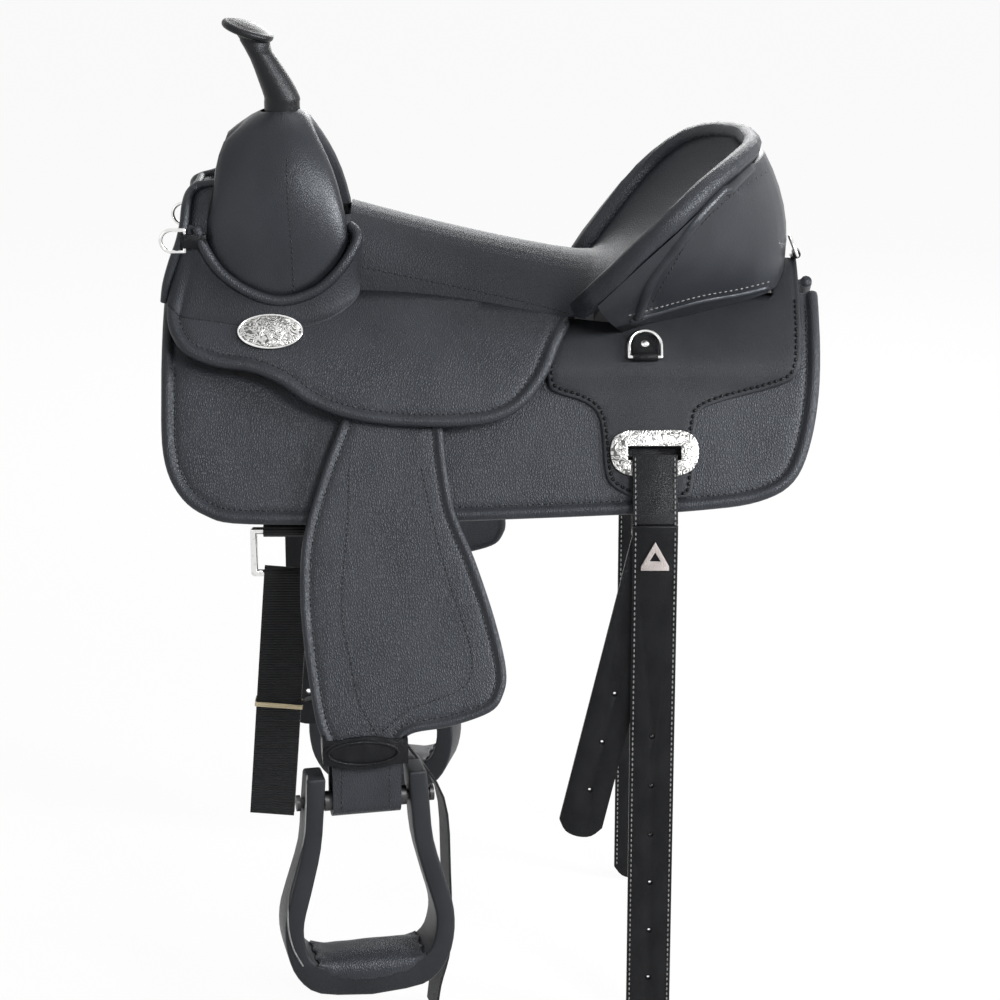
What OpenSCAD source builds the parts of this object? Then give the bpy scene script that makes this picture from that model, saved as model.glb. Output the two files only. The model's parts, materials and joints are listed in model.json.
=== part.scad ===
// Endurance saddle with horn, fenders, stirrups and two-point rigging.
// +X runs to the cantle, -Y is the near side, +Z is up. The origin lies between
// the upper edges of the two tree bars, over the middle of the skirts.

/* [Flank] */
// Half of the open channel between the bars
channel_half = 32; // [26:1:40]
// Slope of the flank beside the channel, in degrees
flank_top_angle = 36; // [30:1:42]
// Slope of the flat lower flank, in degrees
flank_low_angle = 64; // [58:1:70]
// Length of the rounded stretch between the two slopes
flank_arc = 110; // [95:1:130]

/* [Skirt and lining] */
// Length of a skirt over its rolled edge
skirt_len = 662; // [620:1:700]
// Drop of a skirt over its rolled edge, measured along the flank
skirt_drop = 237; // [225:1:260]
// Thickness of the skirt leather
skirt_t = 6; // [4:0.5:8]
// Radius of the rolled edge of a skirt
skirt_roll_r = 6; // [4.5:0.5:7.5]
// Thickness of the fleece lining
lining_t = 12; // [8:1:18]

/* [Tree] */
// Length of a bar
bar_len = 596; // [560:1:620]
// Drop of a bar along the flank
bar_drop = 84; // [70:1:95]
// Thickness of a bar
bar_t = 7; // [6:0.5:9]
// Wall of the cover over the fork
fork_cover_t = 5; // [3:0.5:7]
// Height of the fork's centre line over the channel
fork_rise = 177; // [165:1:190]
// Half width of the fork's centre line at its feet
fork_half = 60; // [54:1:66]
// Half length of the fork where it is broadest
fork_long_half = 66; // [58:1:68]
// Distance from the middle of the saddle forward to the fork
fork_set = 208; // [204:1:214]

/* [Horn] */
// Radius of the horn's neck at its foot
horn_foot_r = 18; // [15:0.5:20]
// Radius of the horn's neck under the cap
horn_top_r = 12; // [10:0.5:14]
// Height of the neck over the fork
horn_rise = 62; // [50:1:75]
// Forward lean of the cap from the foot
horn_lean = 29; // [20:1:36]
// Radius of the cap
horn_cap_r = 27; // [23:0.5:31]
// Thickness of the cap
horn_cap_t = 10; // [8:0.5:13]
// Upward tilt of the cap's front edge, in degrees
horn_cap_tilt = 19; // [10:1:25]

/* [Seat and cantle] */
// Thickness of the padded seat at its middle
seat_t = 14; // [10:1:18]
// Height of the seat behind the fork
seat_front_z = 98; // [92:1:106]
// Height of the seat at its lowest
seat_low_z = 46; // [42:1:52]
// Height of the cantle's rim at the middle
cantle_z = 154; // [140:1:170]
// Half width of the cantle's rim
cantle_half = 140; // [128:1:150]
// Place of the rim's rearmost point
cantle_back_x = 256; // [248:1:262]
// Radius of the roll on the cantle's rim
cantle_roll_r = 7; // [5:0.5:8]
// Thickness of the cantle from the seat to its back cover
cantle_t = 17; // [14:1:20]

/* [Jockeys] */
// Length of a seat jockey
jockey_len = 410; // [395:1:425]
// Drop of a seat jockey along the flank, below the bars' upper edge
jockey_drop = 142; // [130:1:155]
// Thickness of a seat jockey
jockey_t = 5; // [4:0.5:6]
// Radius of the rolled edge of a seat jockey
jockey_roll_r = 5.5; // [4:0.5:6]
// Length of a rear jockey
rear_jockey_len = 254; // [244:1:262]
// Drop of a rear jockey to the end of its rigging leg
rear_jockey_drop = 222; // [214:1:224]
// Thickness of the rear jockey leather
rear_jockey_t = 3.5; // [2.5:0.5:5]
// Length of a concho
concho_len = 66; // [54:1:76]
// Height of a concho
concho_h = 34; // [28:1:40]

/* [Fender and stirrup] */
// Width of a fender at its broadest
fender_w = 204; // [190:1:220]
// Length of a fender below its hanger
fender_drop = 368; // [350:1:390]
// Thickness of a fender
fender_t = 5; // [4:0.5:6]
// Radius of the rolled edge of a fender
fender_roll_r = 4.2; // [3:0.2:4.4]
// Width of the stirrup leather
leather_w = 68; // [58:1:72]
// Thickness of the stirrup leather
leather_t = 5; // [4:0.5:6]
// Outer width of a stirrup
stirrup_w = 170; // [156:1:184]
// Height of a stirrup below its bolt
stirrup_drop = 203; // [190:1:220]
// Depth of the stirrup's tread
tread_depth = 56; // [46:1:64]
// Depth of a stirrup's leg
leg_depth = 34; // [28:1:40]
// Radius of the roller on the stirrup bolt
roller_r = 10; // [8:0.5:12]
// Turn of the stirrup about the upright, in degrees
stirrup_yaw = 12; // [0:1:16]

/* [Rigging] */
// Width of the flank billets
billet_w = 45; // [38:1:50]
// Thickness of the flank billets
billet_t = 4.5; // [3.5:0.5:5]
// Length of a billet's front layer below the skirt
billet_drop = 540; // [450:5:600]
// Length of a billet's rear layer below the skirt
billet_tail = 330; // [260:5:380]
// Diameter of the buckle holes
billet_hole_d = 6; // [5:0.5:7]
// Pitch of the buckle holes
billet_hole_pitch = 54; // [40:1:60]
// Width of the rigging plate
plate_w = 88; // [80:1:92]
// Height of the rigging plate
plate_h = 46; // [42:1:50]
// Thickness of the rigging plate
plate_t = 3; // [2:0.5:4]
// Width of the nylon webbing
webbing_w = 45; // [38:1:50]
// Thickness of the nylon webbing
webbing_t = 2.4; // [1.8:0.2:3]
// Length of the folded tie strap
hank_len = 262; // [220:2:300]
// Length of the off billet
off_billet_len = 280; // [240:5:320]
// Outer width of a rigging ring
ring_w = 72; // [66:1:80]
// Outer height of a rigging ring
ring_h = 52; // [46:1:60]
// Wire radius of a rigging ring
ring_wire_r = 3.6; // [3:0.2:4.2]
// Outer width of a dee
dee_w = 36; // [32:1:40]
// Wire radius of a dee
dee_wire_r = 1.9; // [1.5:0.1:2.2]

/* [Hidden] */
$fn = 48;
// Gap between pieces that rest on each other
gap = 0.3;
// Running gap round a pin
pin_gap = 0.06;
// Overrun of every cut
over = 1;

// Flank: a rounded stretch and then a flat one, as an arc length s from the channel
flank_span = flank_low_angle - flank_top_angle;
flank_r = flank_arc / (flank_span * PI / 180);
function flank_a(s) = min(flank_low_angle, flank_top_angle + flank_span * s / flank_arc);
function flank_y(s) = channel_half + flank_r * (sin(flank_a(s)) - sin(flank_top_angle))
    + max(s - flank_arc, 0) * cos(flank_low_angle);
function flank_z(s) = flank_r * (cos(flank_a(s)) - cos(flank_top_angle))
    - max(s - flank_arc, 0) * sin(flank_low_angle);
// Point on the near flank at x, s and height o over the skirt's underside
function on_flank(x, s, o) = [x,
    -flank_y(s) - o * sin(flank_a(s)), flank_z(s) + o * cos(flank_a(s))];
function flank_normal(s) = [0, -sin(flank_a(s)), cos(flank_a(s))];
// Height of the ridge where a layer from either side meets over the channel
function ridge_z(o) = sqrt(pow(flank_r + o, 2) - pow(flank_r * sin(flank_top_angle) - channel_half, 2))
    - flank_r * cos(flank_top_angle);

// Layers over the flank, from the skirt's underside outwards
skirt_o = skirt_t;
bar_o = skirt_o + gap;
bar_top_o = bar_o + bar_t;
fender_gap = 0.5;
fender_o = bar_top_o + fender_gap;
fender_top_o = fender_o + fender_t;
// Room over the flat fender where the flank curves away under the jockey
hanger_room = 5.5;
jockey_o = fender_top_o + hanger_room;
jockey_top_o = jockey_o + jockey_t;
jockey_mid_o = jockey_o + jockey_t / 2;
rear_jockey_o = skirt_o + gap;
rear_jockey_top_o = bar_top_o + gap + rear_jockey_t;
rear_jockey_x = 57;

// Curves and small helpers
function mix(a, b, t) = a + (b - a) * t;
function unit(v) = v / norm(v);
function curve_at(p, q, r, s, t) = (2 * q + (r - p) * t + (2 * p - 5 * q + 4 * r - s) * t * t
    + (3 * q - p - 3 * r + s) * t * t * t) / 2;
// Smooth curve through the points p, with k steps between neighbours
function smooth(p, k) = let(n = len(p) - 1) concat(
    [for (i = [0:n - 1], j = [0:k - 1])
        curve_at(p[max(i - 1, 0)], p[i], p[i + 1], p[min(i + 2, n)], j / k)],
    [p[n]]);
function placed(shares, size, origin) = [for (q = shares)
    [origin[0] + q[0] * size[0], origin[1] + q[1] * size[1]]];
// Path moved by d to its right hand, which is inwards for an edge that runs rearwards
function inset(p, d) = [for (i = [0:len(p) - 1])
    let(t = unit(p[min(i + 1, len(p) - 1)] - p[max(i - 1, 0)])) p[i] + d * [t[1], -t[0]]];
function reversed(p) = [for (i = [len(p) - 1:-1:0]) p[i]];
function part_of(p, a, b) = [for (i = [a:b]) p[i]];
function mirrored(p) = [p[0], -p[1], p[2]];

// Solid between two equal grids of points
module thick_grid(top, low) {
    m = len(top);
    n = len(top[0]);
    points = concat([for (r = top, p = r) p], [for (r = low, p = r) p]);
    base = m * n;
    function at(i, j) = i * n + j;
    faces = concat(
        [for (i = [0:m - 2], j = [0:n - 2]) [at(i, j), at(i, j + 1), at(i + 1, j + 1)]],
        [for (i = [0:m - 2], j = [0:n - 2]) [at(i, j), at(i + 1, j + 1), at(i + 1, j)]],
        [for (i = [0:m - 2], j = [0:n - 2]) base * [1, 1, 1] + [at(i, j), at(i + 1, j + 1), at(i, j + 1)]],
        [for (i = [0:m - 2], j = [0:n - 2]) base * [1, 1, 1] + [at(i, j), at(i + 1, j), at(i + 1, j + 1)]],
        [for (i = [0:m - 2]) [at(i, 0), at(i + 1, 0), base + at(i + 1, 0)]],
        [for (i = [0:m - 2]) [at(i, 0), base + at(i + 1, 0), base + at(i, 0)]],
        [for (i = [0:m - 2]) [at(i, n - 1), base + at(i + 1, n - 1), at(i + 1, n - 1)]],
        [for (i = [0:m - 2]) [at(i, n - 1), base + at(i, n - 1), base + at(i + 1, n - 1)]],
        [for (j = [0:n - 2]) [at(0, j), base + at(0, j + 1), at(0, j + 1)]],
        [for (j = [0:n - 2]) [at(0, j), base + at(0, j), base + at(0, j + 1)]],
        [for (j = [0:n - 2]) [at(m - 1, j), at(m - 1, j + 1), base + at(m - 1, j + 1)]],
        [for (j = [0:n - 2]) [at(m - 1, j), base + at(m - 1, j + 1), base + at(m - 1, j)]]);
    polyhedron(points, faces);
}

// Faces of a run of rings, with flat ends unless the ends stay open
function ring_faces(m, n, first, flip, ends) = concat(
    [for (k = [0:m - 2], i = [0:n - 1]) let(a = first + k * n + i, b = first + k * n + (i + 1) % n)
        flip ? [a, a + n, b + n] : [a, b + n, a + n]],
    [for (k = [0:m - 2], i = [0:n - 1]) let(a = first + k * n + i, b = first + k * n + (i + 1) % n)
        flip ? [a, b + n, b] : [a, b, b + n]],
    ends ? [for (i = [1:n - 2]) [first, first + i + 1, first + i]] : [],
    ends ? [for (i = [1:n - 2]) let(e = first + (m - 1) * n) [e, e + i, e + i + 1]] : []);

// Solid through a run of rings
module loft(rings) {
    polyhedron([for (r = rings, p = r) p], ring_faces(len(rings), len(rings[0]), 0, false, true));
}

// Open-ended tube between an outer and an inner run of rings
module loft_shell(outer, inner) {
    m = len(outer);
    n = len(outer[0]);
    base = m * n;
    last = base - n;
    faces = concat(ring_faces(m, n, 0, false, false), ring_faces(m, n, base, true, false),
        [for (i = [0:n - 1]) let(j = (i + 1) % n) [i, base + i, base + j]],
        [for (i = [0:n - 1]) let(j = (i + 1) % n) [i, base + j, j]],
        [for (i = [0:n - 1]) let(j = (i + 1) % n) [last + i, base + last + j, base + last + i]],
        [for (i = [0:n - 1]) let(j = (i + 1) % n) [last + i, last + j, base + last + j]]);
    polyhedron(concat([for (r = outer, p = r) p], [for (r = inner, p = r) p]), faces);
}

// Rings of a round roll along points p, with the directions up as its uppers
roll_sides = 8;
function roll_rings(p, up, r) = [for (i = [0:len(p) - 1])
    let(t = unit(p[min(i + 1, len(p) - 1)] - p[max(i - 1, 0)]), b = unit(cross(t, up[i])), u = cross(b, t))
    [for (j = [0:roll_sides - 1]) let(a = 360 * j / roll_sides) p[i] + r * (cos(a) * u - sin(a) * b)]];
module flank_roll(path, o, r) {
    loft(roll_rings([for (q = path) on_flank(q[0], q[1], o)], [for (q = path) flank_normal(q[1])], r));
}
module both_sides() {
    children();
    mirror([0, 1, 0]) children();
}

// Flat lower flank as a working plane: x along the saddle, y up the slope from the arc, z outwards
module on_plane(o) {
    translate(on_flank(0, flank_arc, 0)) rotate([flank_low_angle, 0, 0]) translate([0, 0, o]) children();
}
function flat_points(path) = [for (q = path) [q[0], flank_arc - q[1]]];
function plane_points(path, o) = [for (q = path) [q[0], q[1] >= flank_arc ? flank_arc - q[1]
    : (flank_r + o) * sin(flank_low_angle - flank_a(q[1]))]];

// Leather sheet that wraps the flank: low(s) to high(s) inside an outline of x and s
band_reach = 60;
band_steps = 16;
module flank_band(low, high, from_s, to_s) {
    stops = concat([for (i = [0:band_steps]) mix(from_s, flank_arc, i / band_steps)], [to_s]);
    profile = concat([for (s = stops) on_flank(0, s, low(s))],
        [for (s = reversed(stops)) on_flank(0, s, high(s))]);
    translate([-skirt_len, 0, 0]) rotate([90, 0, 90]) linear_extrude(2 * skirt_len)
        polygon([for (p = profile) [p[1], p[2]]]);
}
module flank_sheet(outline, low, high, mid_o) {
    intersection() {
        flank_band(low, high, -band_reach, skirt_drop + band_reach);
        on_plane(-band_reach) linear_extrude(2 * band_reach) polygon(plane_points(outline, mid_o));
    }
}

// Skirt edge, from its upper front corner round the bottom to its upper rear corner
skirt_front = -skirt_len / 2;
skirt_edge_shares = [[0, 0], [0.0015, 0.42], [0.006, 0.70], [0.029, 0.865], [0.071, 0.96],
    [0.137, 0.996], [0.364, 0.99], [0.663, 0.96], [0.814, 0.937], [0.903, 0.90],
    [0.956, 0.815], [0.983, 0.64], [0.997, 0.39], [1, 0.08], [1, -0.03]];
skirt_edge = smooth(placed(skirt_edge_shares, [skirt_len, skirt_drop], [skirt_front, 0]), 3);
skirt_sheet_edge = inset(skirt_edge, 2 * skirt_roll_r + gap);

// Slot that the flank billet passes through
slot_x_share = 0.4167;
slot_s_share = 0.7473;
slot_h = 14;
slot_ease = 4;
slot_x = rear_jockey_x + slot_x_share * rear_jockey_len;
slot_s = slot_s_share * rear_jockey_drop;
module billet_slot() {
    on_plane(-band_reach) translate([slot_x - billet_w / 2 - slot_ease, flank_arc - slot_s - slot_h / 2, 0])
        cube([billet_w + 2 * slot_ease, slot_h, 2 * band_reach]);
}

module skirt() {
    color([0.10, 0.105, 0.115]) difference() {
        flank_sheet(skirt_sheet_edge, function(s) 0, function(s) skirt_o, skirt_t / 2);
        billet_slot();
    }
}
module skirt_roll() {
    color([0.11, 0.115, 0.125]) flank_roll(inset(skirt_edge, skirt_roll_r), skirt_t / 2, skirt_roll_r);
}

// Fleece lining under a skirt, set in from its roll
lining_inset = 3 * skirt_roll_r;
module lining() {
    color([0.16, 0.155, 0.15]) difference() {
        flank_sheet(inset(skirt_edge, lining_inset), function(s) -lining_t - gap, function(s) -gap,
            -lining_t / 2);
        billet_slot();
    }
}

// Tree bar: a paddle with a lobe that carries the stirrup leather
bar_lobe_share = 0.302;
bar_front = -bar_len / 2;
bar_low_shares = [[0, 0.05], [0.01, 0.6], [0.06, 0.92], [0.13, 1], [0.18, 1.08], [0.24, 1.25],
    [0.302, 1.3], [0.365, 1.25], [0.425, 1.08], [0.54, 0.92], [0.75, 0.9],
    [0.94, 0.84], [0.99, 0.5], [1, 0.05]];
bar_edge = smooth(placed(bar_low_shares, [bar_len, bar_drop], [bar_front, 0]), 2);
hanger_x = bar_front + bar_lobe_share * bar_len;
hanger_drop_share = 1.13;
hanger_s = hanger_drop_share * bar_drop;
hanger_pin_r = 6;
hanger_head_r = 10;
hanger_head_t = 2.5;
module at_hanger(o) {
    on_plane(o) translate([hanger_x, flank_arc - hanger_s, 0]) children();
}
module bar() {
    color([0.62, 0.50, 0.36]) difference() {
        flank_sheet(bar_edge, function(s) bar_o, function(s) bar_top_o, bar_o + bar_t / 2);
        at_hanger(skirt_o) cylinder(h = bar_t + hanger_room, r = hanger_pin_r);
    }
}
module hanger_pin() {
    color([0.55, 0.56, 0.58]) {
        at_hanger(bar_o) cylinder(h = fender_top_o + gap + hanger_head_t - bar_o, r = hanger_pin_r);
        at_hanger(fender_top_o + gap) cylinder(h = hanger_head_t, r = hanger_head_r);
    }
}

// Fork: an arch from bar to bar. Shares give the centre line's half width and height,
// the half length along the saddle and the half thickness.
fork_thick_half = 22;
fork_shares = [[1, 0.034, 0.22, 0.42], [0.98, 0.113, 0.64, 0.6], [0.95, 0.237, 0.88, 0.73],
    [0.883, 0.407, 0.985, 0.86], [0.767, 0.6, 0.9, 0.95], [0.583, 0.768, 0.76, 1],
    [0.35, 0.904, 0.58, 0.96], [0.133, 0.983, 0.45, 0.95]];
fork_half_path = [for (q = fork_shares)
    [fork_half * q[0], fork_rise * q[1], fork_long_half * q[2], fork_thick_half * q[3]]];
fork_path = smooth(concat([for (q = fork_half_path) [-q[0], q[1], q[2], q[3]]],
    [for (q = reversed(fork_half_path)) q]), 2);
fork_sides = 24;
function fork_rings(wall) = [for (i = [0:len(fork_path) - 1])
    let(q = fork_path[i], a = fork_path[max(i - 1, 0)], b = fork_path[min(i + 1, len(fork_path) - 1)],
        t = unit([b[0] - a[0], b[1] - a[1]]))
    [for (j = [0:fork_sides - 1])
        let(a = 360 * j / fork_sides, c = (q[2] - wall) * cos(a), d = (q[3] - wall) * sin(a))
        [-fork_set + c, q[0] - d * t[1], q[1] + d * t[0]]]];
fork_top_z = fork_rise + fork_thick_half;

// Horn: a neck that leans forward out of the fork, with a tilted cap
horn_sink = 16;
horn_set = 2;
horn_x = -fork_set - horn_set;
horn_sides = 24;
horn_bend_shares = [[0, 0, 1], [0, 0.08, 1], [0.22, 0.34, 0.8], [0.6, 0.7, 0.28], [1, 1, 0]];
horn_line = smooth(concat([[horn_x, fork_top_z - horn_sink, horn_foot_r]],
    [for (q = horn_bend_shares) [horn_x - horn_lean * q[0], fork_top_z + horn_rise * q[1],
        mix(horn_top_r, horn_foot_r, q[2])]]), 2);
module horn() {
    color([0.05, 0.05, 0.055]) loft([for (q = reversed(horn_line)) [for (j = [0:horn_sides - 1])
        [q[0] + q[2] * cos(360 * j / horn_sides), q[2] * sin(360 * j / horn_sides), q[1]]]]);
}
module horn_socket() {
    translate([horn_x, 0, fork_top_z - horn_sink - gap]) cylinder(h = fork_rise, r = horn_foot_r + gap);
}
// The cap is a domed disc that sits over the end of the neck
cap_dome = 3;
cap_edge_r = 4;
cap_forward = 5;
cap_z = fork_top_z + horn_rise + (horn_top_r + cap_forward) * sin(horn_cap_tilt) + gap;
cap_crown_r = horn_cap_r - cap_edge_r;
cap_crown_h = horn_cap_t - 2 * cap_edge_r + cap_dome;
dome_shares = [0.75, 0.5, 0.25, 0];
module horn_cap() {
    color([0.045, 0.045, 0.05]) translate([horn_x - horn_lean - cap_forward, 0, cap_z])
        rotate([0, horn_cap_tilt, 0]) rotate_extrude() polygon(concat([[0, 0]],
            [for (a = [-90:15:90]) [cap_crown_r + cap_edge_r * cos(a), cap_edge_r + cap_edge_r * sin(a)]],
            [for (t = dome_shares) [cap_crown_r * t, 2 * cap_edge_r + cap_crown_h * (1 - t * t)]]));
}

// Feet of the fork, which rest on the bars under the jockeys
foot_shares = [[-0.5, 0.2], [0.5, 0.2], [0.5, 0.42], [-0.5, 0.42]];
foot_h = 3;
fork_foot_drop = 7.5;
function lowered(r) = [for (p = r) p - [0, 0, fork_foot_drop]];
module fork() {
    color([0.62, 0.50, 0.36]) difference() {
        union() {
            let(r = fork_rings(fork_cover_t + gap))
                loft(concat([lowered(r[0])], r, [lowered(r[len(r) - 1])]));
            both_sides() flank_sheet(placed(foot_shares, [fork_long_half, bar_drop], [-fork_set, 0]),
                function(s) bar_top_o + gap, function(s) bar_top_o + gap + foot_h, bar_top_o);
        }
        horn_socket();
    }
}
module fork_cover() {
    color([0.12, 0.125, 0.135]) difference() {
        loft_shell(fork_rings(0), fork_rings(fork_cover_t));
        horn_socket();
    }
}

// Seat jockey: its lower edge from the upper front corner to the cantle
jockey_rear = 84;
jockey_front = jockey_rear - jockey_len;
jockey_low_shares = [[0.02, 0.085], [0.004, 0.14], [0.01, 0.33], [0.049, 0.5], [0.124, 0.59],
    [0.21, 0.627], [0.283, 0.704], [0.356, 0.838], [0.454, 0.944], [0.576, 0.993], [0.695, 1],
    [0.793, 0.972], [0.866, 0.873], [0.927, 0.669], [0.963, 0.437], [0.988, 0.31]];
jockey_low = smooth(placed(jockey_low_shares, [jockey_len, jockey_drop], [jockey_front, 0]), 3);
// Cut-out round the fork, and the seam with the seat behind it
collar_shares = [[-0.763, 0.085], [-0.545, 0.105], [-0.297, 0.155], [0, 0.185], [0.324, 0.155],
    [0.604, 0.095], [0.852, 0.05]];
collar_edge = smooth(placed(collar_shares, [fork_long_half, jockey_drop], [-fork_set, 0]), 3);
seam_shares = [[0.2264, 0.056], [0.4047, 0.07], [0.6097, 0.12], [0.8147, 0.197], [0.9747, 0.262]];
seam = placed(seam_shares, [fork_set + jockey_rear, jockey_drop], [-fork_set, 0]);
collar_r = 4;
seam_gap = 0.6;
seam_line = inset(smooth(seam, 3), -seam_gap);
// Points at the front of the roll that lie before the leather's own corner
jockey_corner_count = 4;
module jockey() {
    color([0.10, 0.105, 0.115]) flank_sheet(concat(
        part_of(inset(jockey_low, 2 * jockey_roll_r + gap), jockey_corner_count, len(jockey_low) - 1),
        reversed(part_of(seam_line, 0, len(seam_line) - 2)),
        reversed(inset(collar_edge, -2 * collar_r - gap))),
        function(s) jockey_o, function(s) jockey_top_o, jockey_mid_o);
}
module jockey_roll() {
    color([0.11, 0.115, 0.125]) flank_roll(inset(jockey_low, jockey_roll_r), jockey_mid_o, jockey_roll_r);
}
module fork_collar() {
    color([0.09, 0.095, 0.10]) flank_roll(inset(collar_edge, -collar_r), jockey_mid_o, collar_r);
}

// Seat: rows from the near edge over the middle to the off edge. In front the edges follow
// the seam with the jockeys, behind they climb the cantle's rim.
rim_shares = [[0.14, 0.80, 0.18], [0.355, 0.97, 0.49], [0.523, 1, 0.69], [0.692, 0.87, 0.864],
    [0.849, 0.607, 0.96], [0.965, 0.27, 1]];
rim_len = cantle_back_x - jockey_rear;
rim = [for (q = rim_shares) [jockey_rear + rim_len * q[0], -cantle_half * q[1], cantle_z * q[2]]];
seat_edge = concat([for (q = seam) on_flank(q[0], q[1], jockey_top_o)], rim);
// Middle of each row: share of the way back from the fork, and its height
seat_front_set = 1;
seat_front_x = seam[0][0] + seat_front_set;
seat_mid_front_shares = [[0, 0], [0.139, 0.29], [0.291, 0.577], [0.442, 0.827], [0.581, 1]];
seat_mid_rear_shares = [[0.238, 0], [0.442, 0.13], [0.628, 0.36], [0.802, 0.61], [0.93, 0.806],
    [1, 0.955]];
seat_mid = concat(
    [for (q = seat_mid_front_shares)
        [mix(seat_front_x, cantle_back_x, q[0]), 0, mix(seat_front_z, seat_low_z, q[1])]],
    [for (q = seat_mid_rear_shares) [jockey_rear + rim_len * q[0], 0, mix(seat_low_z, cantle_z, q[1])]]);
// Fullness of each row: where the curve stands off its edge and off its middle
seat_full_shares = [[0.97, 0.56, 0.68, 1], [0.95, 0.5, 0.66, 1], [0.9, 0.48, 0.6, 1],
    [0.84, 0.46, 0.5, 1], [0.84, 0.48, 0.5, 0.98], [0.8, 0.3, 0.45, 0.95],
    [0.78, 0.62, 0.4, 1.05], [0.8, 0.5, 0.4, 1],
    [0.8, 0.5, 0.4, 1], [0.8, 0.5, 0.4, 1], [0.8, 0.5, 0.4, 1]];
seat_rows = smooth([for (i = [0:len(seat_edge) - 1])
    let(e = seat_edge[i], c = seat_mid[i], f = seat_full_shares[i])
    [e[0], e[1], e[2], mix(e[0], c[0], 1 / 3), e[1] * f[0], mix(e[2], c[2], f[1]),
        mix(e[0], c[0], 2 / 3), e[1] * f[2], mix(e[2], c[2], f[3]), c[0], 0, c[2]]], 2);
function row_point(q, t) = let(u = 1 - t)
    u * u * u * [q[0], q[1], q[2]] + 3 * u * u * t * [q[3], q[4], q[5]]
    + 3 * u * t * t * [q[6], q[7], q[8]] + t * t * t * [q[9], q[10], q[11]];
seat_cols = 8;
seat_top = [for (q = seat_rows) concat([for (j = [0:seat_cols]) row_point(q, j / seat_cols)],
    [for (j = [seat_cols - 1:-1:0]) mirrored(row_point(q, j / seat_cols))])];
// Unit normal of a grid, pointing down out of a surface seen from above
function grid_down(g, i, j) = let(m = len(g) - 1, n = len(g[0]) - 1)
    unit(cross(g[i][min(j + 1, n)] - g[i][max(j - 1, 0)], g[min(i + 1, m)][j] - g[max(i - 1, 0)][j]));
seat_edge_t = 4.7;
function seat_depth(j) = let(t = abs(j - seat_cols) / seat_cols) mix(seat_t, seat_edge_t, t * t);
function sunk(g, d) = [for (i = [0:len(g) - 1])
    [for (j = [0:len(g[0]) - 1]) g[i][j] + grid_down(g, i, j) * d(j)]];
module seat() {
    color([0.055, 0.055, 0.06]) thick_grid(seat_top, sunk(seat_top, function(j) seat_depth(j)));
}

// Ground seat: the shell under the seat, with its edges on the bars
ground_t = 2.5;
ground_cut_count = 2;
ground_row_count = 11;
ground_foot_s = 7;
ground_foot_share = 0.12;
ground_lift = 1;
ground_skin = sunk(seat_top, function(j) seat_depth(j) + gap);
function ground_row(i) = let(r = ground_skin[i], x = r[ground_cut_count][0],
    o = (x < rear_jockey_x - ground_t ? bar_top_o : rear_jockey_top_o) + gap + ground_t + ground_lift,
    f = on_flank(x, ground_foot_s + ground_foot_share * (x - seat_front_x), o))
    concat([f], part_of(r, ground_cut_count, len(r) - 1 - ground_cut_count), [mirrored(f)]);
ground_top = [for (i = [1:ground_row_count - 1]) ground_row(i)];
module ground_seat() {
    color([0.40, 0.41, 0.42]) thick_grid(ground_top, sunk(ground_top, function(j) ground_t));
}

// Roll on the cantle's rim, just outside the seat's edge
dish_x = 130;
rim_rows = part_of(seat_rows, 2 * len(seam) - 1, len(seat_rows) - 1);
function row_edge(q) = [q[0], q[1], q[2]];
// The roll stands out from the dish, and a little above the rim
roll_up_share = 0.45;
function row_out(q) = let(d = [q[0] - dish_x, q[1]]) unit([d[0], d[1], roll_up_share * norm(d)]);
rim_gap = 2.2;
rim_near = [for (q = rim_rows) row_edge(q) + (cantle_roll_r + rim_gap) * row_out(q)];
rim_top = [cantle_back_x + cantle_roll_r, 0, cantle_z + cantle_roll_r / 2];
rim_line = concat(rim_near, [rim_top], [for (p = reversed(rim_near)) mirrored(p)]);
module cantle_roll() {
    color([0.07, 0.07, 0.075]) loft(roll_rings(rim_line, [for (p = rim_line) [0, 0, 1]], cantle_roll_r));
}

// Back of the cantle, from below the roll down to the rear jockeys
back_drop = 8;
back_full = 9;
back_t = 5;
back_base_shares = [[0.28, 0.2], [0.44, 0.16], [0.645, 0.126], [0.85, 0.085], [1.035, 0.045],
    [1.19, -0.02]];
back_base_mid_share = 1.255;
back_near = [for (i = [0:len(rim) - 1])
    let(r = rim[i], h = unit([r[0] - dish_x, r[1], 0]), q = back_base_shares[i])
    concat(r + h * cantle_t - [0, 0, back_drop],
        on_flank(jockey_rear + rim_len * q[0], skirt_drop * q[1], rear_jockey_top_o + gap), h)];
back_crown = 3;
back_crown_rise = 2;
back_mid = concat([cantle_back_x + cantle_t + back_crown, 0, cantle_z - back_drop + back_crown_rise],
    [jockey_rear + rim_len * back_base_mid_share, 0, ridge_z(rear_jockey_top_o + gap)], [1, 0, 0]);
function flip(v) = [for (k = [0:len(v) - 1]) k % 3 == 1 ? -v[k] : v[k]];
back_rows = smooth(concat(back_near, [back_mid], [for (v = reversed(back_near)) flip(v)]), 2);
back_steps = 6;
// Inner layers stand higher at their base, as the jockeys rise towards the channel
base_rise_share = 0.95;
base_lift = 0.8;
function back_skin(d) = [for (v = back_rows) let(h = unit([v[6], v[7], v[8]]))
    [for (k = [0:back_steps]) let(t = k / back_steps)
    mix([v[0], v[1], v[2]], [v[3], v[4], v[5]], t) + h * (4 * back_full * t * (1 - t) - d)
    + [0, 0, (base_lift + d * base_rise_share) * t * t * t]]];
module cantle_back() {
    color([0.11, 0.115, 0.13]) thick_grid(back_skin(back_t), back_skin(0));
}
board_t = 3.4;
board_cut_count = 2;
module cantle_board() {
    color([0.62, 0.50, 0.36]) thick_grid(
        part_of(back_skin(back_t + gap + board_t), board_cut_count, len(back_rows) - 1 - board_cut_count),
        part_of(back_skin(back_t + gap), board_cut_count, len(back_rows) - 1 - board_cut_count));
}

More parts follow.
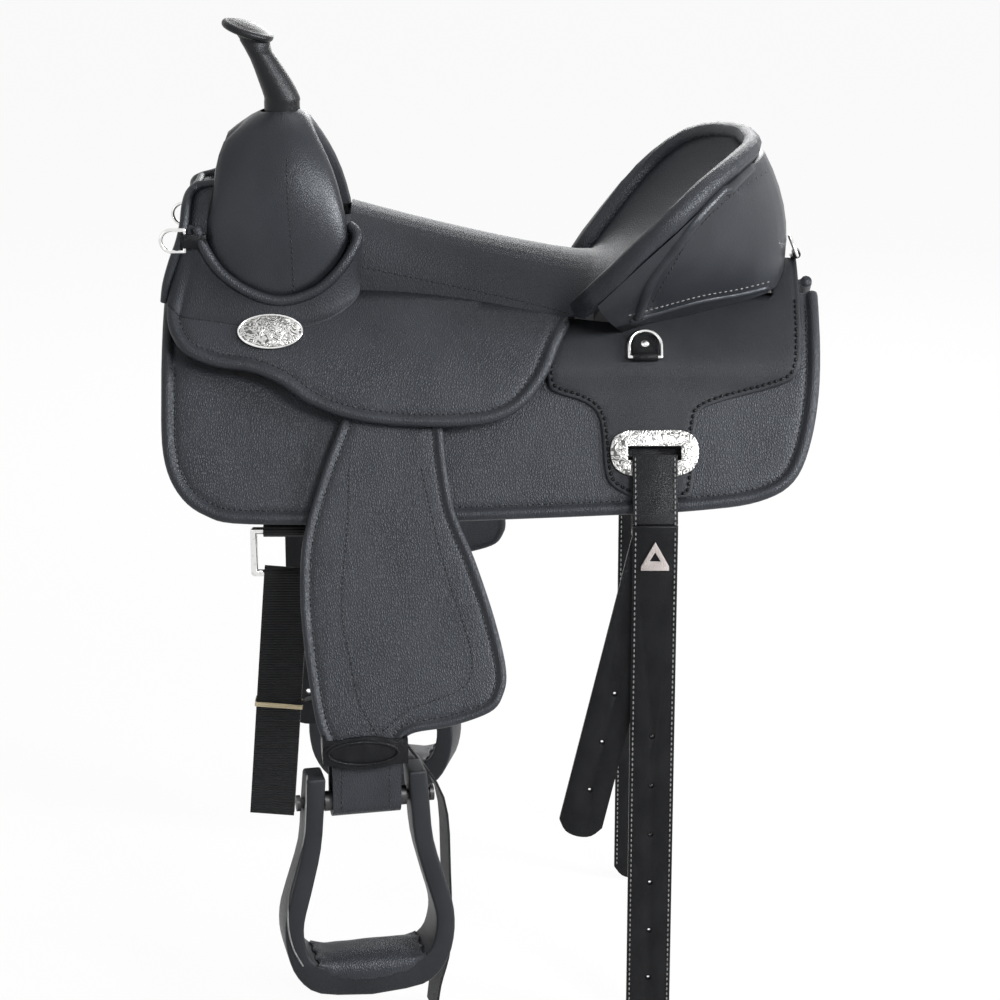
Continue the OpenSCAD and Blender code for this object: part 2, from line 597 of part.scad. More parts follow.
// Rear jockey, which drapes over the edge of the bar and carries the rigging plate
rear_jockey_shares = [[0.012, 0.027], [0, 0.3], [0, 0.419], [0.028, 0.468], [0.146, 0.514],
    [0.205, 0.595], [0.224, 0.824], [0.26, 0.9], [0.358, 0.95],
    [0.516, 0.95], [0.567, 0.9], [0.579, 0.622], [0.634, 0.527],
    [0.909, 0.441], [0.98, 0.383], [0.996, 0.234], [1, -0.054], [1, -0.27]];
rear_jockey_top_shares = [[0.898, -0.27], [0.89, 0.027]];
drape_top = 82;
drape_low = 104;
function drape(s) = (bar_t + gap) * min(1, max(0, (drape_low - s) / (drape_low - drape_top)));
module rear_jockey() {
    size = [rear_jockey_len, rear_jockey_drop];
    color([0.075, 0.075, 0.08]) difference() {
        flank_sheet(concat(smooth(placed(rear_jockey_shares, size, [rear_jockey_x, 0]), 3),
            placed(rear_jockey_top_shares, size, [rear_jockey_x, 0])),
            function(s) rear_jockey_o + drape(s), function(s) rear_jockey_o + rear_jockey_t + drape(s),
            bar_top_o);
        billet_slot();
        translate([-skirt_len, -gap / 2, -skirt_len]) cube(2 * skirt_len);
    }
}

// Facing in front of the fork, from the jockeys over the gullet: each row runs back from
// the lip to the fork's front edge
facing_t = 4;
facing_lip_r = 4;
facing_lip_shares = [[1.02, 0.11, 0.42], [0.95, 0.237, 0.375], [0.87, 0.395, 0.32], [0.70, 0.525, 0.27],
    [0.48, 0.6, 0.24], [0.25, 0.63, 0.225]];
facing_lip_mid = [0, 0.64, 0.22];
facing_reach = 80;
facing_flare = 50;
facing_gap = 0.9;
// Bend of a row between its ends, along, across and up
facing_bend_shares = [0.62, 0.3, 0.16];
facing_first_count = 3;
function lip_point(q) = [-fork_set - facing_reach - facing_flare * q[2], -fork_half * q[0], fork_rise * q[1]];
facing_lip_near = [for (q = facing_lip_shares) lip_point(q)];
facing_lip = smooth(concat(facing_lip_near, [lip_point(facing_lip_mid)],
    [for (p = reversed(facing_lip_near)) mirrored(p)]), 2);
facing_rows = [for (i = [0:len(facing_lip) - 1])
    let(front = facing_lip[i], f = fork_path[i + facing_first_count],
        back = [-fork_set - f[2] - facing_gap, f[0], f[1]])
    concat(front, [for (k = [0:2]) mix(front[k], back[k], facing_bend_shares[k])], back)];
facing_steps = 5;
facing_top = [for (v = facing_rows)
    let(a = [v[0], v[1], v[2]], b = [v[3], v[4], v[5]], c = [v[6], v[7], v[8]])
    [for (k = [0:facing_steps]) let(t = k / facing_steps)
        (1 - t) * (1 - t) * a + 2 * t * (1 - t) * b + t * t * c]];
module gullet_facing() {
    color([0.09, 0.095, 0.10]) {
        thick_grid(facing_top, sunk(facing_top, function(j) facing_t));
        loft(roll_rings([for (r = facing_top) r[0]], [for (r = facing_top) [-1, 0, 0]], facing_lip_r));
    }
}

// Local frame on the flank: x along the saddle, y up the slope, z outwards
module at_flank(x, s, o) {
    translate(on_flank(x, s, o)) rotate([flank_a(s), 0, 0]) children();
}
// Oval concho with a domed face
concho_x = -220;
concho_s = 52;
concho_lift = 0.9;
concho_profile_shares = [[1, 0], [1, 0.38], [0.9, 0.52], [0.74, 0.56], [0.66, 0.72], [0.4, 0.93], [0.1, 1]];
concho_t = 4.4;
concho_sides = 28;
function oval(w, h, n) = [for (i = [0:n - 1]) [w / 2 * cos(360 * i / n), h / 2 * sin(360 * i / n)]];
module concho() {
    color([0.78, 0.78, 0.76]) at_flank(concho_x, concho_s, jockey_top_o + concho_lift)
        loft([for (q = reversed(concho_profile_shares))
            [for (p = oval(concho_len * q[0], concho_h * q[0], concho_sides))
                [p[0], p[1], concho_t * q[1]]]]);
}

// Dee with its straight bar along x at the origin, bowed towards +y
module dee(w, stem, r) {
    reach = w / 2 - r;
    translate([-reach, 0, 0]) rotate([0, 90, 0]) cylinder(h = 2 * reach, r = r);
    for (x = [-reach, reach]) {
        translate([x, 0, 0]) sphere(r = r);
        translate([x, 0, 0]) rotate([-90, 0, 0]) cylinder(h = stem, r = r);
    }
    translate([0, stem, 0]) rotate_extrude(angle = 180) translate([reach, 0]) circle(r = r);
}
// Folded tab: a tongue along +y with a loop round a dee's bar at the origin
module tab(w, reach, r, t, lift) {
    difference() {
        union() {
            rotate([0, 90, 0]) translate([0, 0, -w / 2]) cylinder(h = w, r = r + pin_gap + t);
            translate([-w / 2, 0, -lift]) cube([w, reach, t]);
        }
        rotate([0, 90, 0]) translate([0, 0, -w / 2 - over]) cylinder(h = w + 2 * over, r = r + pin_gap);
    }
}
tab_t = 2.2;
tab_lift = dee_wire_r + pin_gap + tab_t;

// Rear dees: each lies up the slope round its tab, which is riveted to the rear jockey
rear_dee_x = 154;
rear_dee_s = 73;
rear_dee_stem = 12;
rear_tab_w = 25;
rear_tab_len = 24;
rivet_r = 4.5;
rivet_h = 1.8;
rivet_share = 0.62;
rear_dee_o = rear_jockey_top_o + gap + tab_lift;
module at_rear_dee() {
    at_flank(rear_dee_x, rear_dee_s, rear_dee_o) children();
}
module rear_dee() {
    color([0.8, 0.8, 0.8]) at_rear_dee() dee(dee_w, rear_dee_stem, dee_wire_r);
}
module rear_tab() {
    color([0.06, 0.06, 0.06]) at_rear_dee() tab(rear_tab_w, rear_tab_len, dee_wire_r, tab_t, tab_lift);
}
module rear_rivet() {
    color([0.75, 0.75, 0.75]) at_rear_dee() translate([0, rear_tab_len * rivet_share, tab_t - tab_lift + gap])
        cylinder(h = rivet_h, r1 = rivet_r, r2 = rivet_r / 2);
}

// Front dees: on upright bars beside the gullet, bowed forward
front_dee_row = facing_lip_shares[2];
front_dee_gap = 1.6;
front_dee_x = lip_point(front_dee_row)[0] - dee_wire_r;
front_dee_y = fork_half * front_dee_row[0] + facing_t + tab_t + dee_wire_r + front_dee_gap;
front_dee_z = fork_rise * front_dee_row[1];
front_dee_w = 26;
front_dee_stem = 13;
front_tab_w = 14;
front_tab_len = 22;
module at_front_dee() {
    translate([front_dee_x, -front_dee_y, front_dee_z]) children();
}
module front_dee() {
    color([0.8, 0.8, 0.8]) at_front_dee() rotate([90, 0, 0]) rotate([0, 0, 90])
        dee(front_dee_w, front_dee_stem, dee_wire_r);
}

// Tab beside the gullet: a wedge against the facing with a loop round the dee's upright bar
front_tab_shares = [[1, -0.5], [1, 0.5], [0.62, 0.5], [0.12, -0.5]];
module front_tab() {
    deep = tab_t + dee_wire_r + facing_t;
    color([0.06, 0.06, 0.06]) at_front_dee() difference() {
        union() {
            translate([0, 0, -front_tab_w / 2]) cylinder(h = front_tab_w, r = dee_wire_r + pin_gap + tab_t);
            rotate([90, 0, 90]) linear_extrude(front_tab_len) polygon([for (q = front_tab_shares)
                [-dee_wire_r - tab_t + deep * (1 - q[0]), front_tab_w * q[1]]]);
        }
        translate([0, 0, -front_tab_w / 2 - over])
            cylinder(h = front_tab_w + 2 * over, r = dee_wire_r + pin_gap);
    }
}

// Crupper dee: behind the cantle over the channel, leaning forward
crupper_x = 311;
crupper_lean = 22;
crupper_stem = 8;
crupper_tab_w = 14;
crupper_tab_len = 6;
crupper_z = ridge_z(rear_jockey_top_o + gap) + tab_lift;
module at_crupper() {
    translate([crupper_x, 0, crupper_z]) rotate([0, 0, 90]) children();
}
module crupper_dee() {
    color([0.8, 0.8, 0.8]) at_crupper() rotate([90 - crupper_lean, 0, 0])
        dee(front_dee_w, crupper_stem, dee_wire_r);
}
module crupper_tab() {
    color([0.06, 0.06, 0.06]) at_crupper()
        tab(crupper_tab_w, crupper_tab_len, dee_wire_r, tab_t, tab_lift);
}

module dee_tabs() {
    both_sides() front_tab();
    both_sides() rear_tab();
    crupper_tab();
}

// Rear rigging plate with the billet's slot
plate_shares = [[-0.30, 0.5], [0, 0.5], [0.30, 0.5], [0.46, 0.34], [0.5, 0], [0.44, -0.34], [0.26, -0.5],
    [0, -0.5], [-0.26, -0.5], [-0.44, -0.34], [-0.5, 0], [-0.46, 0.34], [-0.30, 0.5]];
plate_o = rear_jockey_o + rear_jockey_t + gap;
module rigging_plate() {
    color([0.78, 0.78, 0.76]) difference() {
        on_plane(plate_o) translate([slot_x, flank_arc - slot_s]) linear_extrude(plate_t)
            polygon(smooth(placed(plate_shares, [plate_w, plate_h], [0, 0]), 3));
        billet_slot();
    }
}

// Flank billet: a strap through the slot, with a fixed loop round the skirt's edge and two
// hanging layers that bend together below it
billet_o = plate_o + plate_t + gap;
billet_back_o = -lining_t - 2 * gap - billet_t;
billet_bend_drop = 4;
billet_bend_s = skirt_drop + billet_bend_drop;
billet_seat = slot_s + slot_h / 2 - gap;
tail_set = 12;
billet_bend = on_flank(slot_x, billet_bend_s, billet_o + billet_t / 2);
// Where the rear layer hands over to its tail, in the plane's own slope and height
tail_top_s = billet_bend_s + tail_set * sin(flank_low_angle) - (billet_t + gap) * cos(flank_low_angle);
tail_top_o = billet_o + billet_t / 2 - tail_set * cos(flank_low_angle)
    - (billet_t + gap) * sin(flank_low_angle);
loop_end_s = billet_bend_s - billet_t / 2 - gap;
loop_gap = 4;
loop_turn_drop = 1;
module billet_loop() {
    turn_s = skirt_drop + loop_turn_drop;
    profile = [[loop_end_s, billet_o], [loop_end_s, billet_o + billet_t],
        [billet_seat - billet_t, billet_o + billet_t],
        [billet_seat - billet_t, billet_back_o], [turn_s + billet_t, billet_back_o],
        [tail_top_s, tail_top_o - loop_gap - billet_t / 2], [tail_top_s - billet_t, tail_top_o - loop_gap],
        [turn_s, billet_back_o + billet_t], [billet_seat, billet_back_o + billet_t], [billet_seat, billet_o]];
    color([0.05, 0.05, 0.05]) on_plane(0) translate([slot_x - billet_w / 2, 0, 0]) rotate([90, 0, 90])
        linear_extrude(billet_w) polygon([for (q = profile) [flank_arc - q[0], q[1]]]);
}
// Strap of length l hanging from the origin, its face in the xz plane, with a tapered tip
tip_shares = [[-0.5, 0.3], [-0.3, 0.05], [0, -0.025], [0.3, 0.05], [0.5, 0.3]];
module strap(l, t, from, first, pitch, count, hole_d) {
    tip = smooth(placed(tip_shares, [billet_w, billet_w], [0, -l]), 3);
    difference() {
        rotate([90, 0, 0]) translate([0, 0, -t / 2]) linear_extrude(t)
            polygon(concat([[-billet_w / 2, -from]], tip, [[billet_w / 2, -from]]));
        for (i = [0:count - 1]) translate([0, 0, -first - i * pitch]) rotate([90, 0, 0])
            translate([0, 0, -t]) cylinder(h = 2 * t, r = hole_d / 2);
    }
}
billet_hole_first = 222;
billet_holes = 6;
tail_lean = 13;
off_tail_lean = 0;
tail_holes = 3;
tail_hole_first = 170;
module billet(lean) {
    color([0.05, 0.05, 0.05]) translate(billet_bend) {
        union() {
            translate([-billet_w / 2, 0, 0]) rotate([0, 90, 0]) cylinder(h = billet_w, r = billet_t / 2);
            strap(billet_drop, billet_t, 0, billet_hole_first, billet_hole_pitch, billet_holes,
                billet_hole_d);
        }
        translate([0, billet_t + gap, -tail_set]) rotate([0, lean, 0])
            strap(billet_tail, billet_t, billet_t, tail_hole_first, billet_hole_pitch, tail_holes,
                billet_hole_d);
    }
}
// Flat lace through the billet's front layer
lace_w = 28;
lace_h = 30;
lace_t = 1.6;
lace_set = 14;
lace_shares = [[0, 0], [0.5, -0.86], [0.5, -1], [-0.5, -1], [-0.5, -0.86]];
lace_hole_shares = [[0, -0.36], [0.2, -0.68], [-0.2, -0.68]];
module billet_lace() {
    color([0.62, 0.56, 0.54]) translate(billet_bend + [0, -billet_t / 2 - gap, -lace_set])
        rotate([90, 0, 0]) linear_extrude(lace_t) difference() {
            polygon(placed(lace_shares, [lace_w, lace_h], [0, 0]));
            polygon(placed(lace_hole_shares, [lace_w, lace_h], [0, 0]));
        }
}

// Front rigging: a webbing tab under the skirt, a ring, and the straps that hang from it
ring_x = -205;
ring_drop = 3;
ring_s = skirt_drop + ring_drop;
tab_in = 64;
ring_o = -lining_t - 2 * gap - webbing_t;
ring_axis = on_flank(ring_x, ring_s, ring_o);
ring_fall = ring_h - 2 * ring_wire_r;
module ring_tab() {
    color([0.03, 0.03, 0.03]) on_plane(ring_o) translate([ring_x, flank_arc - ring_s, 0]) difference() {
        union() {
            translate([-webbing_w / 2, 0, 0]) rotate([0, 90, 0])
                cylinder(h = webbing_w, r = ring_wire_r + gap + webbing_t);
            translate([-webbing_w / 2, 0, -webbing_t]) cube([webbing_w, tab_in, 2 * webbing_t]);
        }
        translate([-webbing_w / 2 - over, 0, 0]) rotate([0, 90, 0])
            cylinder(h = webbing_w + 2 * over, r = ring_wire_r + gap);
    }
}
module rigging_ring() {
    reach = ring_w / 2 - ring_wire_r;
    color([0.8, 0.8, 0.8]) translate(ring_axis) {
        for (z = [0, -ring_fall]) translate([-reach, 0, z]) rotate([0, 90, 0])
            cylinder(h = 2 * reach, r = ring_wire_r);
        for (x = [-reach, reach]) {
            translate([x, 0, -ring_fall]) cylinder(h = ring_fall, r = ring_wire_r);
            for (z = [0, -ring_fall]) translate([x, 0, z]) sphere(r = ring_wire_r);
        }
    }
}
// Loop of webbing round the ring's lower bar, as a profile across the strap
strap_axis = ring_axis - [0, 0, ring_fall];
strap_loop_r = ring_wire_r + gap + webbing_t;
module across(w) {
    translate([-w / 2, 0, 0]) rotate([90, 0, 90]) linear_extrude(w) children();
}
// Folded tie strap, its layers and the air between them taken as one block below the loop
hank_layers = 5;
hank_air = 0.7;
hank_deep = hank_layers * webbing_t + (hank_layers - 1) * hank_air;
hank_lean = 4.5;
module tie_strap() {
    color([0.03, 0.03, 0.03]) translate(strap_axis) difference() {
        union() {
            across(webbing_w) circle(r = strap_loop_r);
            rotate([0, hank_lean, 0]) translate([-webbing_w / 2, -hank_deep / 2, -hank_len])
                cube([webbing_w, hank_deep, hank_len]);
        }
        across(2 * webbing_w) circle(r = ring_wire_r + gap);
    }
}
// Band that holds the layers together
band_h = 5;
band_t = 1.4;
band_set = 143;
module tie_band() {
    w = webbing_w + 2 * gap;
    d = hank_deep + 2 * gap;
    color([0.80, 0.72, 0.55]) translate(strap_axis) rotate([0, hank_lean, 0])
        translate([0, 0, -band_set]) difference() {
            translate([-w / 2 - band_t, -d / 2 - band_t, 0]) cube([w + 2 * band_t, d + 2 * band_t, band_h]);
            translate([-w / 2, -d / 2, -over]) cube([w, d, band_h + 2 * over]);
        }
}
// Free end of the tie strap, which leaves the band behind the fender and hangs edge on
free_w = 40;
free_shares = [[0.042, -0.013], [0.28, -0.035], [0.55, 0], [0.73, 0.12], [0.96, 0.28], [1, 0.52],
    [1, 0.76], [0.93, 0.9], [0.9, 1]];
free_reach = 150;
free_fall = 340;
free_start = [webbing_w / 2 - band_set * sin(hank_lean) + band_t + 4 * gap, -band_set];
free_line = smooth([for (q = free_shares)
    [free_start[0] + (q[0] - free_shares[0][0]) * free_reach, free_start[1] - q[1] * free_fall]], 4);
function step_from(p, i) = i + 1 < len(p) ? norm(p[i + 1] - p[i]) : 0;
function run_to(p) = [for (i = 0, s = 0; i < len(p); s = s + step_from(p, i), i = i + 1) s];
free_runs = run_to(free_line);
echo(str("Tie strap: ", round(free_runs[len(free_runs) - 1]), " mm in the free end"));
module tie_strap_tail() {
    color([0.03, 0.03, 0.03]) translate(strap_axis) rotate([90, 0, 0]) translate([0, 0, -free_w / 2])
        linear_extrude(free_w)
            polygon(concat(inset(free_line, webbing_t / 2), reversed(inset(free_line, -webbing_t / 2))));
}
off_hole_first = 90;
off_hole_pitch = 38;
off_holes = 5;
module off_billet() {
    color([0.03, 0.03, 0.03]) translate(strap_axis) difference() {
        union() {
            across(billet_w) circle(r = strap_loop_r);
            strap(off_billet_len, 2 * webbing_t, 0, off_hole_first, off_hole_pitch, off_holes, billet_hole_d);
        }
        across(billet_w + 2 * over) circle(r = ring_wire_r + gap);
    }
}

// Fender, as shares of its width and length from the hanger
fender_left_shares = [[-0.143, 0.095], [-0.167, 0.13], [-0.255, 0.266], [-0.333, 0.43], [-0.343, 0.592],
    [-0.314, 0.753], [-0.265, 0.913], [-0.22, 0.981], [-0.211, 1]];
fender_right_shares = [[0.317, 0.095], [0.343, 0.13], [0.358, 0.212], [0.402, 0.35], [0.5, 0.484],
    [0.598, 0.647], [0.652, 0.78], [0.637, 0.848], [0.574, 0.894], [0.382, 0.932], [0.216, 0.948],
    [0.157, 0.97], [0.147, 1]];
strap_top_r = 30;
fender_size = [fender_w, fender_drop];
fender_left = smooth(placed(fender_left_shares, fender_size, [hanger_x, hanger_s]), 3);
fender_right = smooth(placed(fender_right_shares, fender_size, [hanger_x, hanger_s]), 3);
fender_mid_o = fender_o + fender_t / 2;
module fender() {
    strap_top = [for (a = [0:-15:-180]) [hanger_x, hanger_s] + strap_top_r * [cos(a), sin(a)]];
    color([0.10, 0.105, 0.115]) on_plane(fender_o) difference() {
        linear_extrude(fender_t) polygon(flat_points(concat(inset(fender_left, 2 * fender_roll_r + gap),
            reversed(inset(fender_right, -2 * fender_roll_r - gap)), strap_top)));
        translate([hanger_x, flank_arc - hanger_s, -over])
            cylinder(h = fender_t + 2 * over, r = hanger_pin_r + pin_gap);
    }
}
// Points of either edge that the roll follows, down to the hobble strap
left_roll_count = 20;
right_roll_count = 31;
module fender_roll() {
    left = part_of(inset(fender_left, fender_roll_r), 0, left_roll_count - 1);
    right = part_of(inset(fender_right, -fender_roll_r), 0, right_roll_count - 1);
    color([0.11, 0.115, 0.125]) {
        flank_roll(left, fender_mid_o, fender_roll_r);
        flank_roll(right, fender_mid_o, fender_roll_r);
    }
}

// Stirrup leather: the loop below the fender that carries the stirrup bolt
neck_x = (fender_left[len(fender_left) - 1][0] + fender_right[len(fender_right) - 1][0]) / 2;
fender_end = on_flank(neck_x, hanger_s + fender_drop, fender_mid_o);
loop_fall = 54;
loop_in_r = roller_r + gap;
loop_mid_r = loop_in_r + leather_t / 2;
bolt_at = fender_end + [0, loop_mid_r, -loop_fall];
loop_front_cut = 1.6;
loop_back_rise = 8;
loop_front_h = loop_fall - loop_front_cut;
loop_back_h = loop_fall + loop_back_rise;
module at_bolt(yaw) {
    translate(bolt_at) rotate([0, 0, yaw]) children();
}
module stirrup_leather() {
    color([0.07, 0.07, 0.075]) at_bolt(stirrup_yaw) across(leather_w) {
        difference() {
            circle(r = loop_in_r + leather_t);
            circle(r = loop_in_r);
            translate([-2 * loop_in_r, 0]) square(4 * loop_in_r);
        }
        translate([-loop_in_r - leather_t, 0]) square([leather_t, loop_front_h]);
        translate([loop_in_r, 0]) square([leather_t, loop_back_h]);
    }
}
// Hobble strap round the fender's end and the leather, with a bare oval face
hobble_h = 26;
hobble_t = 3;
hobble_half_w = 38.6;
hobble_half_d = 19.05;
hobble_set = 44;
hobble_oval_w = 84;
hobble_oval_h = 34;
module hobble() {
    color([0.06, 0.06, 0.06]) at_bolt(stirrup_yaw / 2) translate([0, 0, hobble_set]) {
        difference() {
            translate([-hobble_half_w - hobble_t, -hobble_half_d - hobble_t, 0])
                cube([2 * (hobble_half_w + hobble_t), 2 * (hobble_half_d + hobble_t), hobble_h]);
            translate([-hobble_half_w, -hobble_half_d, -over])
                cube([2 * hobble_half_w, 2 * hobble_half_d, hobble_h + 2 * over]);
        }
        translate([0, -hobble_half_d - hobble_t / 2, hobble_h / 2]) rotate([90, 0, 0])
            linear_extrude(hobble_t) polygon(oval(hobble_oval_w, hobble_oval_h, $fn));
    }
}

// Stirrup: a bent frame, wider and deeper at the tread, hung on a bolt through both legs
stirrup_out_shares = [[0.70, 0.15], [0.73, 0], [0.776, -0.22], [0.918, -0.443], [1, -0.591],
    [0.988, -0.739], [0.87, -0.877], [0.61, -0.97], [0, -1]];
stirrup_in_shares = [[0.482, 0.15], [0.506, 0], [0.553, -0.22], [0.682, -0.443], [0.776, -0.591],
    [0.776, -0.69], [0.70, -0.785], [0.5, -0.83], [0, -0.845]];
stirrup_size = [stirrup_w / 2, stirrup_drop];
stirrup_in = smooth(placed(stirrup_in_shares, stirrup_size, [0, 0]), 3);
stirrup_out = smooth(placed(stirrup_out_shares, stirrup_size, [0, 0]), 3);
function flipped(p) = [for (q = p) [-q[0], q[1]]];
bolt_r = 5;
bolt_head_r = 8;
bolt_head_t = 4;
bolt_half_share = 0.76;
bolt_half = stirrup_w / 2 * bolt_half_share;
bolt_roller_half = stirrup_in[0][0];
depth_shares = [[0.5, 0, 0.15], [0.5, 0, -0.2], [0, 0.5, -0.8], [0, 0.5, -1.02], [0, -0.5, -1.02],
    [0, -0.5, -0.8], [-0.5, 0, -0.2], [-0.5, 0, 0.15]];
module stirrup() {
    color([0.07, 0.07, 0.075]) at_bolt(stirrup_yaw) difference() {
        intersection() {
            rotate([90, 0, 0]) translate([0, 0, -tread_depth]) linear_extrude(2 * tread_depth)
                polygon(concat(stirrup_out, reversed(flipped(stirrup_out)), flipped(stirrup_in),
                    reversed(stirrup_in)));
            across(2 * stirrup_w) polygon([for (q = depth_shares)
                [leg_depth * q[0] + tread_depth * q[1], stirrup_drop * q[2]]]);
        }
        translate([-stirrup_w, 0, 0]) rotate([0, 90, 0]) cylinder(h = 2 * stirrup_w, r = bolt_r + pin_gap);
    }
}
module stirrup_bolt() {
    color([0.6, 0.6, 0.6]) at_bolt(stirrup_yaw) {
        translate([-bolt_half, 0, 0]) rotate([0, 90, 0]) cylinder(h = 2 * bolt_half, r = bolt_r);
        translate([-bolt_roller_half, 0, 0]) rotate([0, 90, 0])
            cylinder(h = 2 * bolt_roller_half, r = roller_r);
        for (x = [-bolt_half - bolt_head_t, bolt_half]) translate([x, 0, 0]) rotate([0, 90, 0])
            cylinder(h = bolt_head_t, r = bolt_head_r);
    }
}
pad_t = 9;
pad_side = 1.5;
pad_top_share = 0.98;
// Points of the stirrup's inner edge above the pad
pad_first_count = 18;
module tread() {
    low = [for (q = part_of(stirrup_in, pad_first_count, len(stirrup_in) - 2)) q + [-gap, gap]];
    edge = low[0][0];
    all_low = concat(low, reversed(flipped(low)));
    color([0.06, 0.06, 0.065]) at_bolt(stirrup_yaw) rotate([90, 0, 0])
        translate([0, 0, -tread_depth / 2 + pad_side]) linear_extrude(tread_depth - 2 * pad_side)
            polygon(concat(all_low, [for (q = reversed(all_low))
                [pad_top_share * q[0], q[1] + pad_side + pad_t * sqrt(max(0, 1 - pow(q[0] / edge, 2)))]]));
}

bar();  // bar_near
mirror([0, 1, 0]) bar();  // bar_off
fork();
cantle_board();
ground_seat();
both_sides() hanger_pin();  // hanger_pins
horn();
horn_cap();
fork_cover();
gullet_facing();
seat();
jockey();  // jockey_near
mirror([0, 1, 0]) jockey();  // jockey_off
both_sides() jockey_roll();  // jockey_rolls
both_sides() fork_collar();  // fork_collars
cantle_roll();
cantle_back();
rear_jockey();  // rear_jockey_near
mirror([0, 1, 0]) rear_jockey();  // rear_jockey_off
skirt();  // skirt_near
mirror([0, 1, 0]) skirt();  // skirt_off
both_sides() skirt_roll();  // skirt_rolls
both_sides() lining();  // linings
both_sides() concho();  // conchos
rigging_plate();  // rigging_plate_near
mirror([0, 1, 0]) rigging_plate();  // rigging_plate_off
both_sides() ring_tab();  // ring_tabs
dee_tabs();
both_sides() rear_rivet();  // dee_rivets
fender();  // fender_near
fender_roll();  // fender_roll_near
stirrup_leather();  // stirrup_leather_near
hobble();  // hobble_near
mirror([0, 1, 0]) fender();  // fender_off
mirror([0, 1, 0]) fender_roll();  // fender_roll_off
mirror([0, 1, 0]) stirrup_leather();  // stirrup_leather_off
mirror([0, 1, 0]) hobble();  // hobble_off
stirrup();  // stirrup_near
tread();  // tread_near
stirrup_bolt();  // stirrup_bolt_near
mirror([0, 1, 0]) stirrup();  // stirrup_off
mirror([0, 1, 0]) tread();  // tread_off
mirror([0, 1, 0]) stirrup_bolt();  // stirrup_bolt_off
front_dee();  // front_dee_near
mirror([0, 1, 0]) front_dee();  // front_dee_off
rear_dee();  // rear_dee_near
mirror([0, 1, 0]) rear_dee();  // rear_dee_off
crupper_dee();
rigging_ring();  // rigging_ring_near
mirror([0, 1, 0]) rigging_ring();  // rigging_ring_off
tie_strap();
tie_strap_tail();
tie_band();
mirror([0, 1, 0]) off_billet();
billet_loop();  // billet_loop_near
mirror([0, 1, 0]) billet_loop();  // billet_loop_off
billet(tail_lean);  // billet_near
mirror([0, 1, 0]) billet(off_tail_lean);  // billet_off
billet_lace();  // billet_lace_near
mirror([0, 1, 0]) billet_lace();  // billet_lace_off
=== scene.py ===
# %% [markdown]
# # Endurance saddle
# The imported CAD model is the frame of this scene: every joint, hinge and size is settled there.
# This lesson dresses that frame. Leather panels get their rolled edges, crowns and stitching, the
# straps get their cut edges, and every surface gets a finish made of nodes. All lengths are metres.

# %% Load the frame
import json
import math

import bmesh
import bpy
import numpy as np
from mathutils import Matrix, Vector, noise
from mathutils.bvhtree import BVHTree
from mathutils.kdtree import KDTree

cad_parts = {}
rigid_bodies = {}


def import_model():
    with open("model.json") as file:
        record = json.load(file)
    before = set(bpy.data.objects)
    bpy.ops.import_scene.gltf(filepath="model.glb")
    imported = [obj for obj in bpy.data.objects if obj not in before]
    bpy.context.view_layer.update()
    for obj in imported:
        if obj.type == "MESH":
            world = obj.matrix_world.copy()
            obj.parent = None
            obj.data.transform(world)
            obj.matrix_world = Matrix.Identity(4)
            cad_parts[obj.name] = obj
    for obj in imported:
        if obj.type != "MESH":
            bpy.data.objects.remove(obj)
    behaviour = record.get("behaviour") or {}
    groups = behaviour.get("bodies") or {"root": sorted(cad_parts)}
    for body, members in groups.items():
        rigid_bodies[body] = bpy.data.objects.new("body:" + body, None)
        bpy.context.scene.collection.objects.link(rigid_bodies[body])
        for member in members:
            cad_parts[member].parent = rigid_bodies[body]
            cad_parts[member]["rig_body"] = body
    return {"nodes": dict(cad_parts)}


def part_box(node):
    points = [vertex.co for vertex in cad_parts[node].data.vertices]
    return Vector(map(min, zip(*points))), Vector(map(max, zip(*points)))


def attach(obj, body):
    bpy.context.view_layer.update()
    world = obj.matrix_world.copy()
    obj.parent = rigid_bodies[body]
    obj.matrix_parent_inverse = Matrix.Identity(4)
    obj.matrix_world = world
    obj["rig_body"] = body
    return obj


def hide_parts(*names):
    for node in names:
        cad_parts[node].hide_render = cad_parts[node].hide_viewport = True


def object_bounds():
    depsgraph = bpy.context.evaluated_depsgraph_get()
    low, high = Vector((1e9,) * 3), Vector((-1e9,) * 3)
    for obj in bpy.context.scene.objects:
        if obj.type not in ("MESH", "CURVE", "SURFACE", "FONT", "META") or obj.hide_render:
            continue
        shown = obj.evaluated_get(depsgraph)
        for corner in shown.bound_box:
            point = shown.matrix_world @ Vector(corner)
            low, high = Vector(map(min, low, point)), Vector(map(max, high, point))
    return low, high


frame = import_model()
NODES = frame["nodes"]
CAD_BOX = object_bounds()

# %% [markdown]
# ## Camera
# The photograph was taken from the near side, a little above the seat, with a long lens. A long lens
# from far away keeps the two ends of the skirt at the same size, so the distance and the lens are
# chosen together and the lens makes one millimetre on the saddle about one pixel.


# %% Camera
def put(name, data):
    made = bpy.data.objects.new(name, data)
    bpy.context.scene.collection.objects.link(made)
    return made


CAMERA_RISE = math.radians(18.0)
CAMERA_DISTANCE = 3.2
CAMERA_LENS, SENSOR = 110.05, 36.0
TARGET = Vector((0.009, 0.0, -0.222))

camera_data = bpy.data.cameras.new("camera")
camera_data.lens = CAMERA_LENS
camera_data.sensor_width = SENSOR
camera = put("camera", camera_data)
camera_back = Vector((0.0, -math.cos(CAMERA_RISE), math.sin(CAMERA_RISE)))
camera.location = TARGET + CAMERA_DISTANCE * camera_back
camera.rotation_euler = (-camera_back).to_track_quat("-Z", "Y").to_euler()
bpy.context.scene.camera = camera
bpy.context.scene.view_settings.view_transform = "Standard"
print("camera at", [round(x, 3) for x in camera.location])

